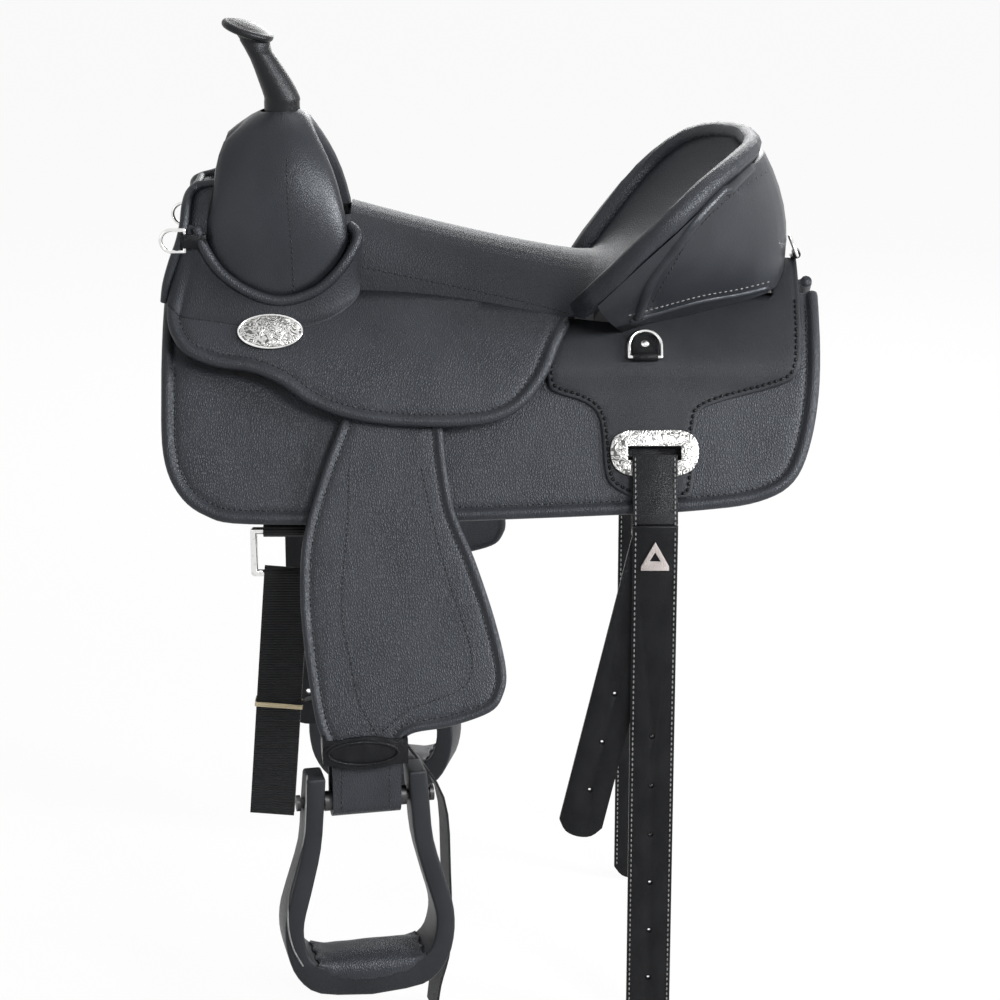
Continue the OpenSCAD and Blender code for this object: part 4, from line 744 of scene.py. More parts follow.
# %% Fenders
FENDER_LEFT = [
    (-0.143, 0.095), (-0.167, 0.13), (-0.255, 0.266), (-0.333, 0.43), (-0.343, 0.592), (-0.314, 0.753),
    (-0.265, 0.913), (-0.22, 0.981), (-0.211, 1),
]
FENDER_RIGHT = [
    (0.317, 0.095), (0.343, 0.13), (0.358, 0.212), (0.402, 0.35), (0.5, 0.484), (0.598, 0.647), (0.652, 0.78),
    (0.637, 0.848), (0.574, 0.894), (0.382, 0.932), (0.216, 0.948), (0.157, 0.97), (0.147, 1),
]
HANGER_X, HANGER_S, NECK_RADIUS = -0.118008, 0.09492, 0.030
FENDER_LIFT, FENDER_SHEET, FENDER_ROLL, FENDER_GROOVE = 0.0138, 0.005, 0.0042, 0.0011
FENDER_SIZE, FENDER_ORIGIN = (0.204, 0.368), (HANGER_X, HANGER_S)
right_side = smooth_line(placed(FENDER_RIGHT, FENDER_SIZE, FENDER_ORIGIN), 5)
left_side = smooth_line(placed(FENDER_LEFT, FENDER_SIZE, FENDER_ORIGIN), 5)
neck = [
    (HANGER_X + NECK_RADIUS * math.cos(math.radians(a)), HANGER_S - NECK_RADIUS * math.sin(math.radians(a)))
    for a in range(0, 181, 15)
]
FENDER_EDGE = [*reversed(right_side), *neck, *left_side]

for label, side in SIDES.items():
    bm = rolled_panel(
        FENDER_EDGE, [], FENDER_ROLL, FENDER_SHEET, FENDER_GROOVE, lambda s: FENDER_LIFT, side, flat=True
    )
    nodes = ["fender_" + label, "fender_roll_" + label]
    piece_of(bm, "fender_panel_" + label, GRAIN, label + "_fender", nodes)

# %% [markdown]
# ## Sewing on the panels
# Dark thread lies in the groove inside each rolled edge. The rear jockeys are sewn with thick waxed thread, which
# lies in shiny beads close to their cut edge.

# %% Panel sewing
THREAD_SUNK, FENDER_THREAD_SUNK, ENDS = 0.0010, 0.0009, slice(4, -4)
BEAD_PITCH, BEAD_LENGTH, BEAD_WIDTH, BEAD_SUNK = 0.0062, 0.0054, 0.0036, 0.0003
BEADS_BELOW, FENDER_BELOW = 0.012, 0.10


def groove_line(edge, radius):
    return moved_in(edge, CREST_SHARE * radius + GROOVE_PAST)[ENDS]


for label, side in SIDES.items():
    bm = bmesh.new()
    flank_stitches(bm, groove_line(SKIRT_EDGE, SKIRT_ROLL), SKIRT_SHEET - THREAD_SUNK, side)
    flank_stitches(bm, groove_line(JOCKEY_EDGE, JOCKEY_ROLL), JOCKEY_LIFT + JOCKEY_SHEET - THREAD_SUNK, side)
    piece_of(bm, "panel_sewing_" + label, DARK_THREAD, "saddle")
    bm = bmesh.new()
    row = [q for q in even_line(moved_in(REAR_EDGE, REAR_ROW), 0.002) if q[1] > BEADS_BELOW]
    stops = even_line(row, BEAD_PITCH)
    points = [on_flank(q[0], q[1], rear_base(q[1]) + REAR_SHEET - BEAD_SUNK, side) for q in stops]
    normals = [on_flank(q[0], q[1], 0.05, side) - on_flank(q[0], q[1], 0.0, side) for q in stops]
    stitch_row(bm, points, normals, BEAD_LENGTH, BEAD_WIDTH)
    piece_of(bm, "rear_sewing_" + label, STRAP, "saddle")
    bm = bmesh.new()
    rim = [q for q in groove_line(FENDER_EDGE, FENDER_ROLL) if q[1] > FENDER_BELOW]
    flank_stitches(bm, rim, FENDER_LIFT + FENDER_SHEET - FENDER_THREAD_SUNK, side, True)
    piece_of(bm, "fender_sewing_" + label, DARK_THREAD, label + "_fender")

# %% [markdown]
# ## Pieces shaped in the CAD
# The fork, seat, cantle, horn, straps and metal already have their form in the CAD. Each is copied and its loose
# triangles are merged. Straps and plates get rounded edges with a bevel. Only sharp edges stay hard in shading.

# %% Softened copies
SHARP = 40.0


def merged_copy(node):
    bm = bmesh.new()
    bm.from_mesh(NODES[node].data)
    bmesh.ops.remove_doubles(bm, verts=bm.verts, dist=1e-5)
    return bm


def softened(node, material, bevel=0.0, sharp=SHARP, segments=2):
    bm = merged_copy(node)
    if bevel:
        bmesh.ops.dissolve_limit(bm, angle_limit=math.radians(1.0), verts=bm.verts, edges=bm.edges)
        corners = [e for e in bm.edges if e.is_manifold and e.calc_face_angle(0.0) > math.radians(sharp)]
        bmesh.ops.bevel(
            bm, geom=corners, offset=bevel, segments=segments, profile=0.5, affect="EDGES", material=-1,
            clamp_overlap=True,
        )
    return piece_of(bm, node + "_dressed", material, body_of(node), [node], sharp)


# %% [markdown]
# The fork's leather is padded towards the front: its left outline in the photograph runs straight down from the horn,
# over a small shoulder. The front half of the cover is drawn out by a share that depends on the height.

# %% Fork, seat, cantle and horn
FORK_MIDDLE = -0.208
FORK_HEIGHTS = (0.004, 0.020, 0.064, 0.116, 0.140, 0.165, 0.178, 0.193)
FORK_FULLNESS = (1.30, 1.28, 1.20, 1.22, 1.38, 1.62, 1.46, 1.10)


def fuller_fork(place):
    share = float(np.interp(place.z, FORK_HEIGHTS, FORK_FULLNESS))
    return FORK_MIDDLE + (place.x - FORK_MIDDLE) * (share if place.x < FORK_MIDDLE else 1.0)


fork_leather = softened("fork_cover", DRAWN)
for v in fork_leather.data.vertices:
    v.co.x = fuller_fork(v.co)
cantle_leather = softened("cantle_back", DRAWN)
cantle_roll = softened("cantle_roll", GRAIN)
ROLL_FULLNESS, ROLL_FULL_LOW, ROLL_REACH = 0.0028, 0.0030, 0.12
roll_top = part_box("cantle_roll")[1][2]
for v, out in zip(cantle_roll.data.vertices, [v.normal.copy() for v in cantle_roll.data.vertices]):
    v.co += out * (ROLL_FULLNESS + ROLL_FULL_LOW * min(1.0, max(0.0, (roll_top - v.co.z) / ROLL_REACH)))
seat = softened("seat", SUEDE)
softened("horn", HORN)
softened("horn_cap", HORN, sharp=30.0)

# %% [markdown]
# The horn's leather is drawn from the neck up to the rim of the cap, so the two meet in a flared throat. A circle is
# extruded upwards ring by ring, and every ring is wider and leans further towards the cap than the one below it.

# %% Horn throat
THROAT_RINGS, THROAT_SIDES, THROAT_FOOT_R, THROAT_HEAD_R = 8, 32, 0.0128, (0.0200, 0.0180)
THROAT_DROP, THROAT_BACK, THROAT_SINK, CAP_TILT = 0.020, 0.0045, 0.0015, math.radians(19.0)
NECK_TOP_R, NECK_WAY, CAP_SHIFT, SWELL_POWER = 0.012, Vector((-0.53, 0.0, 0.85)), Vector((-0.005, 0.0, 0.0058)), 2.2
neck_low, neck_high = (Vector(q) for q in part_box("horn"))
neck_top = Vector((neck_low.x + NECK_TOP_R, 0.0, neck_high.z))
throat_foot = neck_top - NECK_WAY * THROAT_DROP
cap_along = Vector((math.cos(CAP_TILT), 0.0, -math.sin(CAP_TILT)))
cap_up = Vector((math.sin(CAP_TILT), 0.0, math.cos(CAP_TILT)))
throat_head = neck_top + CAP_SHIFT + cap_along * THROAT_BACK + cap_up * THROAT_SINK


def throat_point(turn, t):
    swell = t**SWELL_POWER
    middle = throat_foot.lerp(throat_head, t)
    along = Vector((1.0, 0.0, 0.0)).lerp(cap_along, t).normalized()
    long_r, wide_r = (THROAT_FOOT_R + (r - THROAT_FOOT_R) * swell for r in THROAT_HEAD_R)
    return middle + along * long_r * math.cos(turn) + Vector((0.0, wide_r * math.sin(turn), 0.0))


bm = bmesh.new()
bmesh.ops.create_circle(bm, cap_ends=True, segments=THROAT_SIDES, radius=THROAT_FOOT_R)
turn_of = {v: math.atan2(v.co.y, v.co.x) for v in bm.verts}
top = bm.faces[:]
for v, turn in turn_of.items():
    v.co = throat_point(turn, 0.0)
for ring in range(1, THROAT_RINGS + 1):
    grown = bmesh.ops.extrude_face_region(bm, geom=top)["geom"]
    fresh = {}
    for v in verts_in(grown):
        below = next(e.other_vert(v) for e in v.link_edges if e.other_vert(v) in turn_of)
        fresh[v] = turn_of[below]
        v.co = throat_point(fresh[v], ring / THROAT_RINGS)
    top = [g for g in grown if isinstance(g, bmesh.types.BMFace)]
    turn_of = fresh
face_out(bm)
piece_of(bm, "horn_throat", HORN, "saddle")

# %% [markdown]
# ## Leather round the fork
# Behind the fork the seat leather is drawn forward round the fork's foot and ends in a piped edge. The strip starts
# on the front edge of the seat, is extruded forward row by row, and each point is pushed out onto the fork's
# surface, which a search tree of the fork's triangles finds.

# %% Strip round the fork
SEAT_TOP_Z, SEAT_FRONT_X = 0.098, -0.1409
LINE_POINTS, STRIP_POINTS, STRIP_STEPS, STRIP_AIR, STRIP_SHEET = 29, 21, 5, 0.0016, 0.0012
STRIP_STEP = Vector((-0.007, 0.0, -0.0012))
LOW_OUT, LOW_RISE, HIGH_OUT = 0.97, 0.56, 0.68


def skin_of(*made):
    verts, faces = [], []
    for piece in made:
        base = len(verts)
        verts += [v.co.copy() for v in piece.data.vertices]
        faces += [[base + i for i in f.vertices] for f in piece.data.polygons]
    return BVHTree.FromPolygons(verts, faces)


FORK_SKIN = skin_of(fork_leather)


def pushed_out(point, air):
    place, normal, _, _ = FORK_SKIN.find_nearest(point)
    inside = (point - place).dot(normal) < air
    return place + normal * air if inside else point


def seat_front_line(side):
    foot = on_flank(SEAM_LINE[0][0], SEAM_LINE[0][1], JOCKEY_LIFT + JOCKEY_SHEET, side)
    top = Vector((SEAT_FRONT_X, 0.0, SEAT_TOP_Z))
    low = Vector((foot.x, LOW_OUT * foot.y, foot.z + LOW_RISE * (top.z - foot.z)))
    high = Vector((top.x, HIGH_OUT * foot.y, top.z))
    line = []
    for i in range(LINE_POINTS):
        t = i / (LINE_POINTS - 1)
        u = 1 - t
        line.append(u**3 * foot + 3 * u * u * t * low + 3 * u * t * t * high + t**3 * top)
    return line


for label, side in SIDES.items():
    rows = [seat_front_line(side)[:STRIP_POINTS]]
    for _ in range(STRIP_STEPS):
        rows.append([pushed_out(q + STRIP_STEP, STRIP_AIR) for q in rows[-1]])
    bm = bmesh.new()
    grow_rows(bm, rows)
    thickened(bm, STRIP_SHEET)
    piece_of(bm, "fork_strip_" + label, GRAIN, "saddle")

# %% [markdown]
# ## Lines taken from the photograph
# Seams on the fork and the cantle have no edge of their own in the CAD. Their places are read off the photograph as
# pixels, and a ray from the camera through each pixel finds where the line lies on the leather. The other side
# gets the same line mirrored.

# %% Rays through the photograph
PHOTO_SIZE = 1000.0
FOCUS, PHOTO_MIDDLE = CAMERA_LENS / SENSOR * PHOTO_SIZE, PHOTO_SIZE / 2
CAMERA_UP = camera_back.cross(Vector((1.0, 0.0, 0.0)))


def photo_ray(px, py):
    right, down = (px - PHOTO_MIDDLE) / FOCUS, (py - PHOTO_MIDDLE) / FOCUS
    return (-camera_back + Vector((right, 0.0, 0.0)) - CAMERA_UP * down).normalized()


def photo_at(px, py, y):
    way = photo_ray(px, py)
    return camera.location + way * ((y - camera.location.y) / way.y)


def seam_on(skin, pixels, pitch):
    found = []
    for px, py in even_line(smooth_line(pixels, 6), pitch):
        place, normal, _, _ = skin.ray_cast(camera.location, photo_ray(px, py))
        if place is not None:
            found.append((place, normal if normal.dot(photo_ray(px, py)) < 0 else -normal))
    return found


def turned(vector, side):
    return Vector((vector.x, -side * vector.y, vector.z))


# %% [markdown]
# A piped edge is a round cord under leather. A curve with a bevel gives it a round section and closed ends, and the
# result is kept as a mesh.


# %% Piped edges
def piping(name, line, radius, material, body="saddle", closed=False):
    curve = bpy.data.curves.new(name, "CURVE")
    curve.dimensions, curve.bevel_depth, curve.bevel_resolution = "3D", radius, 4
    curve.use_fill_caps = True
    spline = curve.splines.new("POLY")
    spline.points.add(len(line) - 1)
    spline.use_cyclic_u = closed
    for point, place in zip(spline.points, line):
        point.co = (*place, 1.0)
    bm = bmesh.new()
    bm.from_mesh(evaluated(put(name, curve)))
    bmesh.ops.remove_doubles(bm, verts=bm.verts, dist=1e-6)
    face_out(bm)
    return piece_of(bm, name, material, body)


# %% Collar round the fork
COLLAR_RADIUS, COLLAR_OUT = 0.0056, 0.8
COLLAR_PIXELS = [
    (196, 228, -0.056), (205, 250, -0.064), (222, 274, -0.070), (250, 293, -0.074), (281, 301, -0.076),
    (314, 292, -0.075), (338, 272, -0.071), (354, 248, -0.062), (357, 234, -0.054), (350, 226, -0.046),
]
collar_route = smooth_line([tuple(photo_at(*q)) for q in COLLAR_PIXELS], 6)
for label, side in SIDES.items():
    line = [turned(pushed_out(Vector(q), COLLAR_RADIUS * COLLAR_OUT), side) for q in collar_route]
    made = piping("fork_collar_" + label, line, COLLAR_RADIUS, ROLLED)
    if label == "near":
        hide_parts("fork_collars")

# %% [markdown]
# ## Round the fork's foot
# The jockey's leather climbs to the collar. This apron is lofted: one row of points lies under the collar, one on
# the jockey, and the rows between are extruded from the first and placed on the way to the second.

# %% Apron between collar and jockey
APRON_PIXELS = [
    (165, 300), (174, 312), (184, 318), (214, 322), (245, 327), (281, 331), (314, 326), (338, 315), (356, 299),
    (366, 276), (370, 250),
]
APRON_START, APRON_ROWS, APRON_SHEET, APRON_EASE, APRON_AIR = (184, 224, -0.0560), 8, 0.002, 0.016, 0.002
UPHILL, TUCK_IN, FRONT_Y = Vector((0.0, 0.79, 0.61)), Vector((0.0, 0.0014, -0.0010)), -0.059
apron_ground = skin_of(bpy.data.objects["jockey_panel_near"], seat)
apron_foot = []
for px, py in smooth_line(APRON_PIXELS, 6):
    place = apron_ground.ray_cast(camera.location, photo_ray(px, py))[0]
    apron_foot.append((place or photo_at(px, py, FRONT_Y)) + TUCK_IN)
apron_head = smooth_line([tuple(photo_at(*q)) for q in (APRON_START, *COLLAR_PIXELS)], 6)


def apron_point(i, t):
    head, foot = Vector(apron_head[i]), apron_foot[i]
    middle = foot + UPHILL * min(APRON_EASE, 0.5 * (head - foot).length)
    point = (1 - t) ** 2 * head + 2 * t * (1 - t) * middle + t * t * foot
    return pushed_out(point, APRON_AIR) if t < 1 else point


for label, side in SIDES.items():
    bm = bmesh.new()
    shares = [row / APRON_ROWS for row in range(APRON_ROWS + 1)]
    grow_rows(bm, [[turned(apron_point(i, t), side) for i in range(len(apron_head))] for t in shares])
    thickened(bm, APRON_SHEET)
    piece_of(bm, "apron_" + label, SUEDE, "saddle")

# %% [markdown]
# In front of the fork a facing covers the gullet. It ends in a low shelf with a rolled edge, which runs up from the
# jockey, over the corner and back to the fork, and across the gullet to the other side.

# %% Gullet facing and its roll
SHELF_Z, SHELF_ROLL = 0.119, 0.0048
FRONT_PIXELS = [
    (165, 302, -0.0580), (167, 284, -0.0590), (173, 262, -0.0590), (180, 242, -0.0580), (184, 224, -0.0540),
    (186, 206, -0.0440), (190, 193, -0.0300), (198, 186, -0.0230), (209, 184, -0.0260), (226, 182, -0.0360),
]
bm = merged_copy("gullet_facing")
cut_off(bm, (0, 0, SHELF_Z), (0, 0, 1))
piece_of(bm, "gullet_facing_dressed", GRAIN, "saddle", ["gullet_facing"], SHARP)
front_route = smooth_line([tuple(photo_at(*q)) for q in FRONT_PIXELS], 5)
for label, side in SIDES.items():
    line = [turned(Vector(q), side) for q in front_route]
    piping("front_roll_" + label, line, SHELF_ROLL, ROLLED)
corner = photo_at(*FRONT_PIXELS[7])
across = [Vector((corner.x, corner.y * (1 - k / 6), corner.z)) for k in range(13)]
piping("shelf_roll", across, SHELF_ROLL, ROLLED)

# %% Seams on the fork, the seat and the cantle
FORK_SEAM = [(287, 160), (288, 200), (292, 250), (294, 296)]
SEAT_SEAM = [(348, 264), (420, 279), (500, 296), (575, 314)]
CANTLE_SEAM = [(651, 306), (672, 268), (694, 233), (730, 197), (766, 172)]
SEAM_PITCH, BORDER_PITCH = 5.4, 4.0


def sewn(name, thread, rows, side, body="saddle"):
    bm = bmesh.new()
    for leather, pixels in rows:
        found = seam_on(skin_of(leather), pixels, SEAM_PITCH)
        stitch_row(bm, [turned(q, side) for q, _ in found], [turned(n, side) for _, n in found])
        print(len(found), "stitches on", leather.name)
    piece_of(bm, name, thread, body)


for label, side in SIDES.items():
    rows = [(fork_leather, FORK_SEAM), (seat, SEAT_SEAM), (cantle_leather, CANTLE_SEAM)]
    sewn("seam_sewing_" + label, DARK_THREAD, rows, side)

# %% [markdown]
# The cantle's back is bound: a broad roll runs up its front edge beside the seam, and a thin one along its foot, with
# a row of pale stitches above it. Both are half sunk into the leather.

# %% Bound edges of the cantle
CANTLE_BORDER = [(638, 318), (651, 284), (679, 246), (700, 218), (724, 191), (750, 166)]
CANTLE_FOOT = [(630, 321), (660, 313), (701, 302), (740, 295), (768, 288)]
BORDER_RADIUS, FOOT_RADIUS, FOOT_ROW = 0.0062, 0.0032, 6
FOOT_STITCHES = [(px, py - FOOT_ROW) for px, py in CANTLE_FOOT]
cantle_skin = skin_of(cantle_leather)
for label, side in SIDES.items():
    for name, pixels, radius in (("border", CANTLE_BORDER, BORDER_RADIUS), ("foot", CANTLE_FOOT, FOOT_RADIUS)):
        sunk = [turned(q - n * radius / 3, side) for q, n in seam_on(cantle_skin, pixels, BORDER_PITCH)]
        piping("cantle_" + name + "_" + label, sunk, radius, DRAWN)
    sewn("cantle_foot_sewing_" + label, PALE_THREAD, [(cantle_leather, FOOT_STITCHES)], side)

# %% [markdown]
# A line of stitching follows each fender's outline as ornament. It runs down both sides from under the jockey and
# meets in a point above the stirrup leather.

# %% Fender ornament
ORNAMENT_LEFT = [(349, 470), (348, 520), (342, 606), (352, 669), (361, 706), (377, 734)]
ORNAMENT_RIGHT = [(422, 470), (433, 520), (449, 581), (471, 650), (464, 687), (411, 709), (384, 730)]
fender_near = bpy.data.objects["fender_panel_near"]
for label, side in SIDES.items():
    rows = [(fender_near, pixels) for pixels in (ORNAMENT_LEFT, ORNAMENT_RIGHT)]
    sewn("fender_ornament_" + label, DARK_THREAD, rows, side, label + "_fender")

# %% Straps, tabs and stirrups
STRAP_EDGE, FRAME_EDGE, LACE_EDGE, WEB_EDGE = 0.0008, 0.0030, 0.0004, 0.0005
for node in ("billet_near", "billet_off", "billet_loop_near", "billet_loop_off", "off_billet", "dee_tabs"):
    softened(node, STRAP, bevel=STRAP_EDGE)
for label in SIDES:
    softened("stirrup_leather_" + label, GRAIN)
    softened("hobble_" + label, STRAP, bevel=STRAP_EDGE)
    softened("stirrup_" + label, SMOOTH, bevel=FRAME_EDGE, segments=3)
    softened("billet_lace_" + label, LACE, bevel=LACE_EDGE)
softened("ring_tabs", WEB, bevel=WEB_EDGE)
softened("tie_band", BAND, bevel=WEB_EDGE)

# %% [markdown]
# ## Billets
# Both flank billets are bridle leather, sewn along their edges with pale thread. A punched hole is drawn partly shut
# by the leather round it, so each hole gets a soft lip: a ring grown inwards from a circle, loop by loop. Behind
# the slot in the skirt, above the strap, a dark leather sheet is painted shade: it keeps light from showing through
# the slot.

# %% Billet sewing
BILLET_BEND = Vector((0.162842, 0.173498, -0.19431))
BILLET_SHEET, BILLET_SEWN, BILLET_LIFT = 0.0045, 0.0196, 0.0180
TAIL_BACK, TAIL_DOWN, TAIL_LEANS = 0.0048, 0.012, {"near": 13.0, "off": 0.0}
FRONT_SEWN, HIDDEN_SEWN, TAIL_SEWN, LOOP_SEWN = (0.006, 0.522), (0.352, 0.522), (0.012, 0.312), (0.173, 0.2375)
BILLET_STITCH = 0.0018
SLOT_SHADE_LONG, SLOT_SHADE_WIDE, SLOT_SHADE_DOWN, SLOT_SHADE_UNDER, SLOT_SHADE_SHEET = 0.034, 0.011, 0.0055, -0.0006, 0.0015


def strap_ways(lean):
    lean = math.radians(lean)
    return Vector((-math.sin(lean), 0.0, -math.cos(lean))), Vector((math.cos(lean), 0.0, -math.sin(lean)))


def strap_tops(side):
    bend = Vector((BILLET_BEND.x, side * BILLET_BEND.y, BILLET_BEND.z))
    return bend, bend + Vector((0.0, -side * TAIL_BACK, -TAIL_DOWN))


def strap_rows(bm, top, lean, ends, facing):
    down, across = strap_ways(lean)
    out = Vector((0.0, facing, 0.0))
    for edge in (-BILLET_SEWN, BILLET_SEWN):
        points = even_line([top + across * edge + out * BILLET_SHEET / 2 + down * h for h in ends], STITCH_PITCH)
        stitch_row(bm, points, [out] * len(points), width=BILLET_STITCH)


for label, side in SIDES.items():
    bend, tail = strap_tops(side)
    bm = bmesh.new()
    strap_rows(bm, bend, 0.0, FRONT_SEWN, side)
    strap_rows(bm, bend, 0.0, HIDDEN_SEWN, -side)
    strap_rows(bm, tail, TAIL_LEANS[label], TAIL_SEWN, -side)
    piece_of(bm, "billet_sewing_" + label, PALE_THREAD, label + "_flank_billet")
    bm = bmesh.new()
    for edge in (-BILLET_SEWN, BILLET_SEWN):
        x = BILLET_BEND.x + edge
        flank_stitches(bm, [(x, s) for s in LOOP_SEWN], BILLET_LIFT, side, width=BILLET_STITCH)
    piece_of(bm, "loop_sewing_" + label, PALE_THREAD, "saddle")
    # A dark leather sheet under the skirt behind the slot: painted shade, so the slot shows dark instead of letting
    # light through.
    bm = bmesh.new()
    bmesh.ops.create_grid(bm, x_segments=8, y_segments=4, size=1.0)
    for v in bm.verts:
        v.co = on_flank(SLOT_X + SLOT_SHADE_LONG * v.co.x, SLOT_S - SLOT_SHADE_DOWN + SLOT_SHADE_WIDE * v.co.y, SLOT_SHADE_UNDER, side)
    thickened(bm, SLOT_SHADE_SHEET)
    piece_of(bm, "slot_shade_sheet_" + label, STRAP, "saddle")

# %% Hole lips
HOLE_RADIUS, LIP_RADIUS, LIP_DEEP = 0.00305, 0.0015, 0.0024
HOLE_PITCH, FRONT_FIRST, TAIL_FIRST = 0.054, 0.222, 0.170
FRONT_HOLES, TAIL_HOLES = ([a + HOLE_PITCH * i for i in range(n)] for a, n in ((FRONT_FIRST, 6), (TAIL_FIRST, 3)))


def hole_lip(bm, place):
    facing = Matrix.Translation(place) @ Matrix.Rotation(math.pi / 2, 4, "X")
    ring = bmesh.ops.create_circle(bm, segments=12, radius=HOLE_RADIUS, matrix=facing)["verts"]
    first = edges = list({e for v in ring for e in v.link_edges})
    for share, deep in ((LIP_RADIUS / HOLE_RADIUS, 0.0), (1.0, LIP_DEEP), (HOLE_RADIUS / LIP_RADIUS, 0.0)):
        fresh, edges = grow_row(bm, edges)
        bmesh.ops.scale(bm, verts=list(fresh), vec=(share, 1.0, share), space=Matrix.Translation(-place))
        bmesh.ops.translate(bm, verts=list(fresh), vec=(0.0, deep, 0.0))
    bmesh.ops.bridge_loops(bm, edges=[*first, *edges])


for label, side in SIDES.items():
    bend, tail = strap_tops(side)
    middle = Vector((0.0, -LIP_DEEP / 2, 0.0))
    bm = bmesh.new()
    for top, lean, holes in ((bend, 0.0, FRONT_HOLES), (tail, TAIL_LEANS[label], TAIL_HOLES)):
        for h in holes:
            hole_lip(bm, top + strap_ways(lean)[0] * h + middle)
    face_out(bm)
    piece_of(bm, "hole_lips_" + label, STRAP, label + "_flank_billet")

# %% [markdown]
# ## Stirrup details
# The stirrup leather is sewn down both edges, the hobble has a raised oval rim round a bare face, and the leather of
# the stirrup's frame ends in a pale raw edge along its outer leg.

# %% Stirrup details
LEATHER_ROWS = [[(342, 771), (342, 808)], [(390, 769), (390, 806)]]
RAW_EDGE = [(307, 776), (306, 806), (304, 838), (297, 868), (290, 896), (288, 924), (293, 948), (303, 966)]
OVAL_LONG, OVAL_HIGH, OVAL_RIM, RAW_RADIUS, RAW_PROUD = 0.034, 0.0118, 0.0017, 0.0009, 0.0004


def oval_line(node):
    low, high = (Vector(c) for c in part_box(node))
    skin, line = skin_of(bpy.data.objects[node + "_dressed"]), []
    for a in np.linspace(0.0, 2 * math.pi, 48, endpoint=False):
        x = (low.x + high.x) / 2 + OVAL_LONG * math.cos(a)
        z = (low.z + high.z) / 2 + OVAL_HIGH * math.sin(a)
        line.append(skin.ray_cast(Vector((x, -1.0, z)), Vector((0.0, 1.0, 0.0)))[0])
    return line


hobble_rim = oval_line("hobble_near")
stirrup_skin = skin_of(bpy.data.objects["stirrup_near_dressed"])
raw_edge = [q + n * RAW_PROUD for q, n in seam_on(stirrup_skin, RAW_EDGE, BORDER_PITCH)]
loop_leather = bpy.data.objects["stirrup_leather_near_dressed"]
for label, side in SIDES.items():
    rim, raw = ([turned(q, side) for q in line] for line in (hobble_rim, raw_edge))
    piping("hobble_rim_" + label, rim, OVAL_RIM, STRAP, body_of("hobble_" + label), True)
    piping("raw_edge_" + label, raw, RAW_RADIUS, PALE_THREAD, body_of("stirrup_" + label))
    rows = [(loop_leather, pixels) for pixels in LEATHER_ROWS]
    sewn("loop_rows_" + label, DARK_THREAD, rows, side, body_of("stirrup_leather_" + label))

# %% [markdown]
# ## Tie strap
# The tie strap is one long piece of nylon webbing, looped over the ring and folded up into a hank. Its section is a
# single winding line: down, up, over the ring's bar and down again. The line is given the webbing's thickness, made
# into one face and extruded across the strap's width, so every layer shows at the hank's edges.

# %% Folded hank
RING_BAR = Vector((-0.205, -0.145511, -0.251648))
HANK_LEAN, HANK_LONG, HANK_WIDE, WEB_SHEET = 4.5, 0.262, 0.045, 0.0024
LAYER_PITCH, BAR_LOOP, BAR_LOW, HANK_TOP, HANK_MIDDLE, HANK_SHORT = 0.0031, 0.0051, 0.016, 0.014, 0.1, 0.006


def bend_points(centre, radius, start, end, count=9):
    return [
        (centre[0] + radius * math.cos(math.radians(a)), centre[1] + radius * math.sin(math.radians(a)))
        for a in np.linspace(start, end, count)
    ]


fold_low, half = HANK_LONG - WEB_SHEET / 2 - LAYER_PITCH / 2, LAYER_PITCH / 2
hank_line = [
    (LAYER_PITCH, HANK_TOP), (LAYER_PITCH, HANK_MIDDLE), *bend_points((1.5 * LAYER_PITCH, fold_low), half, 180, 0),
    (2 * LAYER_PITCH, HANK_MIDDLE), (2 * LAYER_PITCH, BAR_LOW), *bend_points((0.0, 0.0), BAR_LOOP, 5, -185, 21),
    (-2 * LAYER_PITCH, BAR_LOW), (-2 * LAYER_PITCH, HANK_MIDDLE),
    *bend_points((-1.5 * LAYER_PITCH, fold_low), half, 180, 0), (-LAYER_PITCH, HANK_MIDDLE),
    *bend_points((-half, HANK_TOP), half, 180, 360), (0.0, HANK_MIDDLE), (0.0, HANK_LONG - HANK_SHORT),
]
hank_down, hank_across = strap_ways(HANK_LEAN)
outer, inner = moved_in(hank_line, WEB_SHEET / 2), moved_in(hank_line, -WEB_SHEET / 2)
bm = bmesh.new()
corner = RING_BAR - hank_across * HANK_WIDE / 2
section = [bm.verts.new(corner + hank_down * q[1] + Vector((0.0, q[0], 0.0))) for q in [*outer, *inner[::-1]]]
grown = bmesh.ops.extrude_face_region(bm, geom=[bm.faces.new(section)], use_keep_orig=True)["geom"]
bmesh.ops.translate(bm, verts=verts_in(grown), vec=hank_across * HANK_WIDE)
face_out(bm)
piece_of(bm, "folded_hank", WEB, body_of("tie_strap"), ["tie_strap"], SHARP)
print("strap of", round(5 * HANK_LONG, 2), "m in the hank")

# %% [markdown]
# The free end leaves the hank under the rubber band, swings out and hangs straight down.

# %% Free end
FREE_SHARES = [
    (0.042, -0.013), (0.28, -0.035), (0.55, 0.0), (0.73, 0.12), (0.96, 0.28), (1.0, 0.52), (1.0, 0.76), (0.93, 0.9),
    (0.9, 1.0),
]
FREE_X, FREE_Z, FREE_SWING, FREE_DROP = RING_BAR.x + 0.01388, -0.394648, 0.150, 0.340
FREE_WIDE, FREE_TWIST = 0.040, math.radians(14.0)
free_line = [
    (FREE_X + (q[0] - FREE_SHARES[0][0]) * FREE_SWING, RING_BAR.y, FREE_Z - q[1] * FREE_DROP)
    for q in smooth_line(FREE_SHARES, 4)
]


def ribbon_section(place, way):
    level = Vector((0.0, 1.0, 0.0))
    flat = level.cross(way).normalized()
    across = level * math.cos(FREE_TWIST) + flat * math.sin(FREE_TWIST)
    thick = across.cross(way).normalized()
    signs = ((-1, -1), (1, -1), (1, 1), (-1, 1))
    return [place + across * (a * FREE_WIDE / 2) + thick * (b * WEB_SHEET / 2) for a, b in signs]


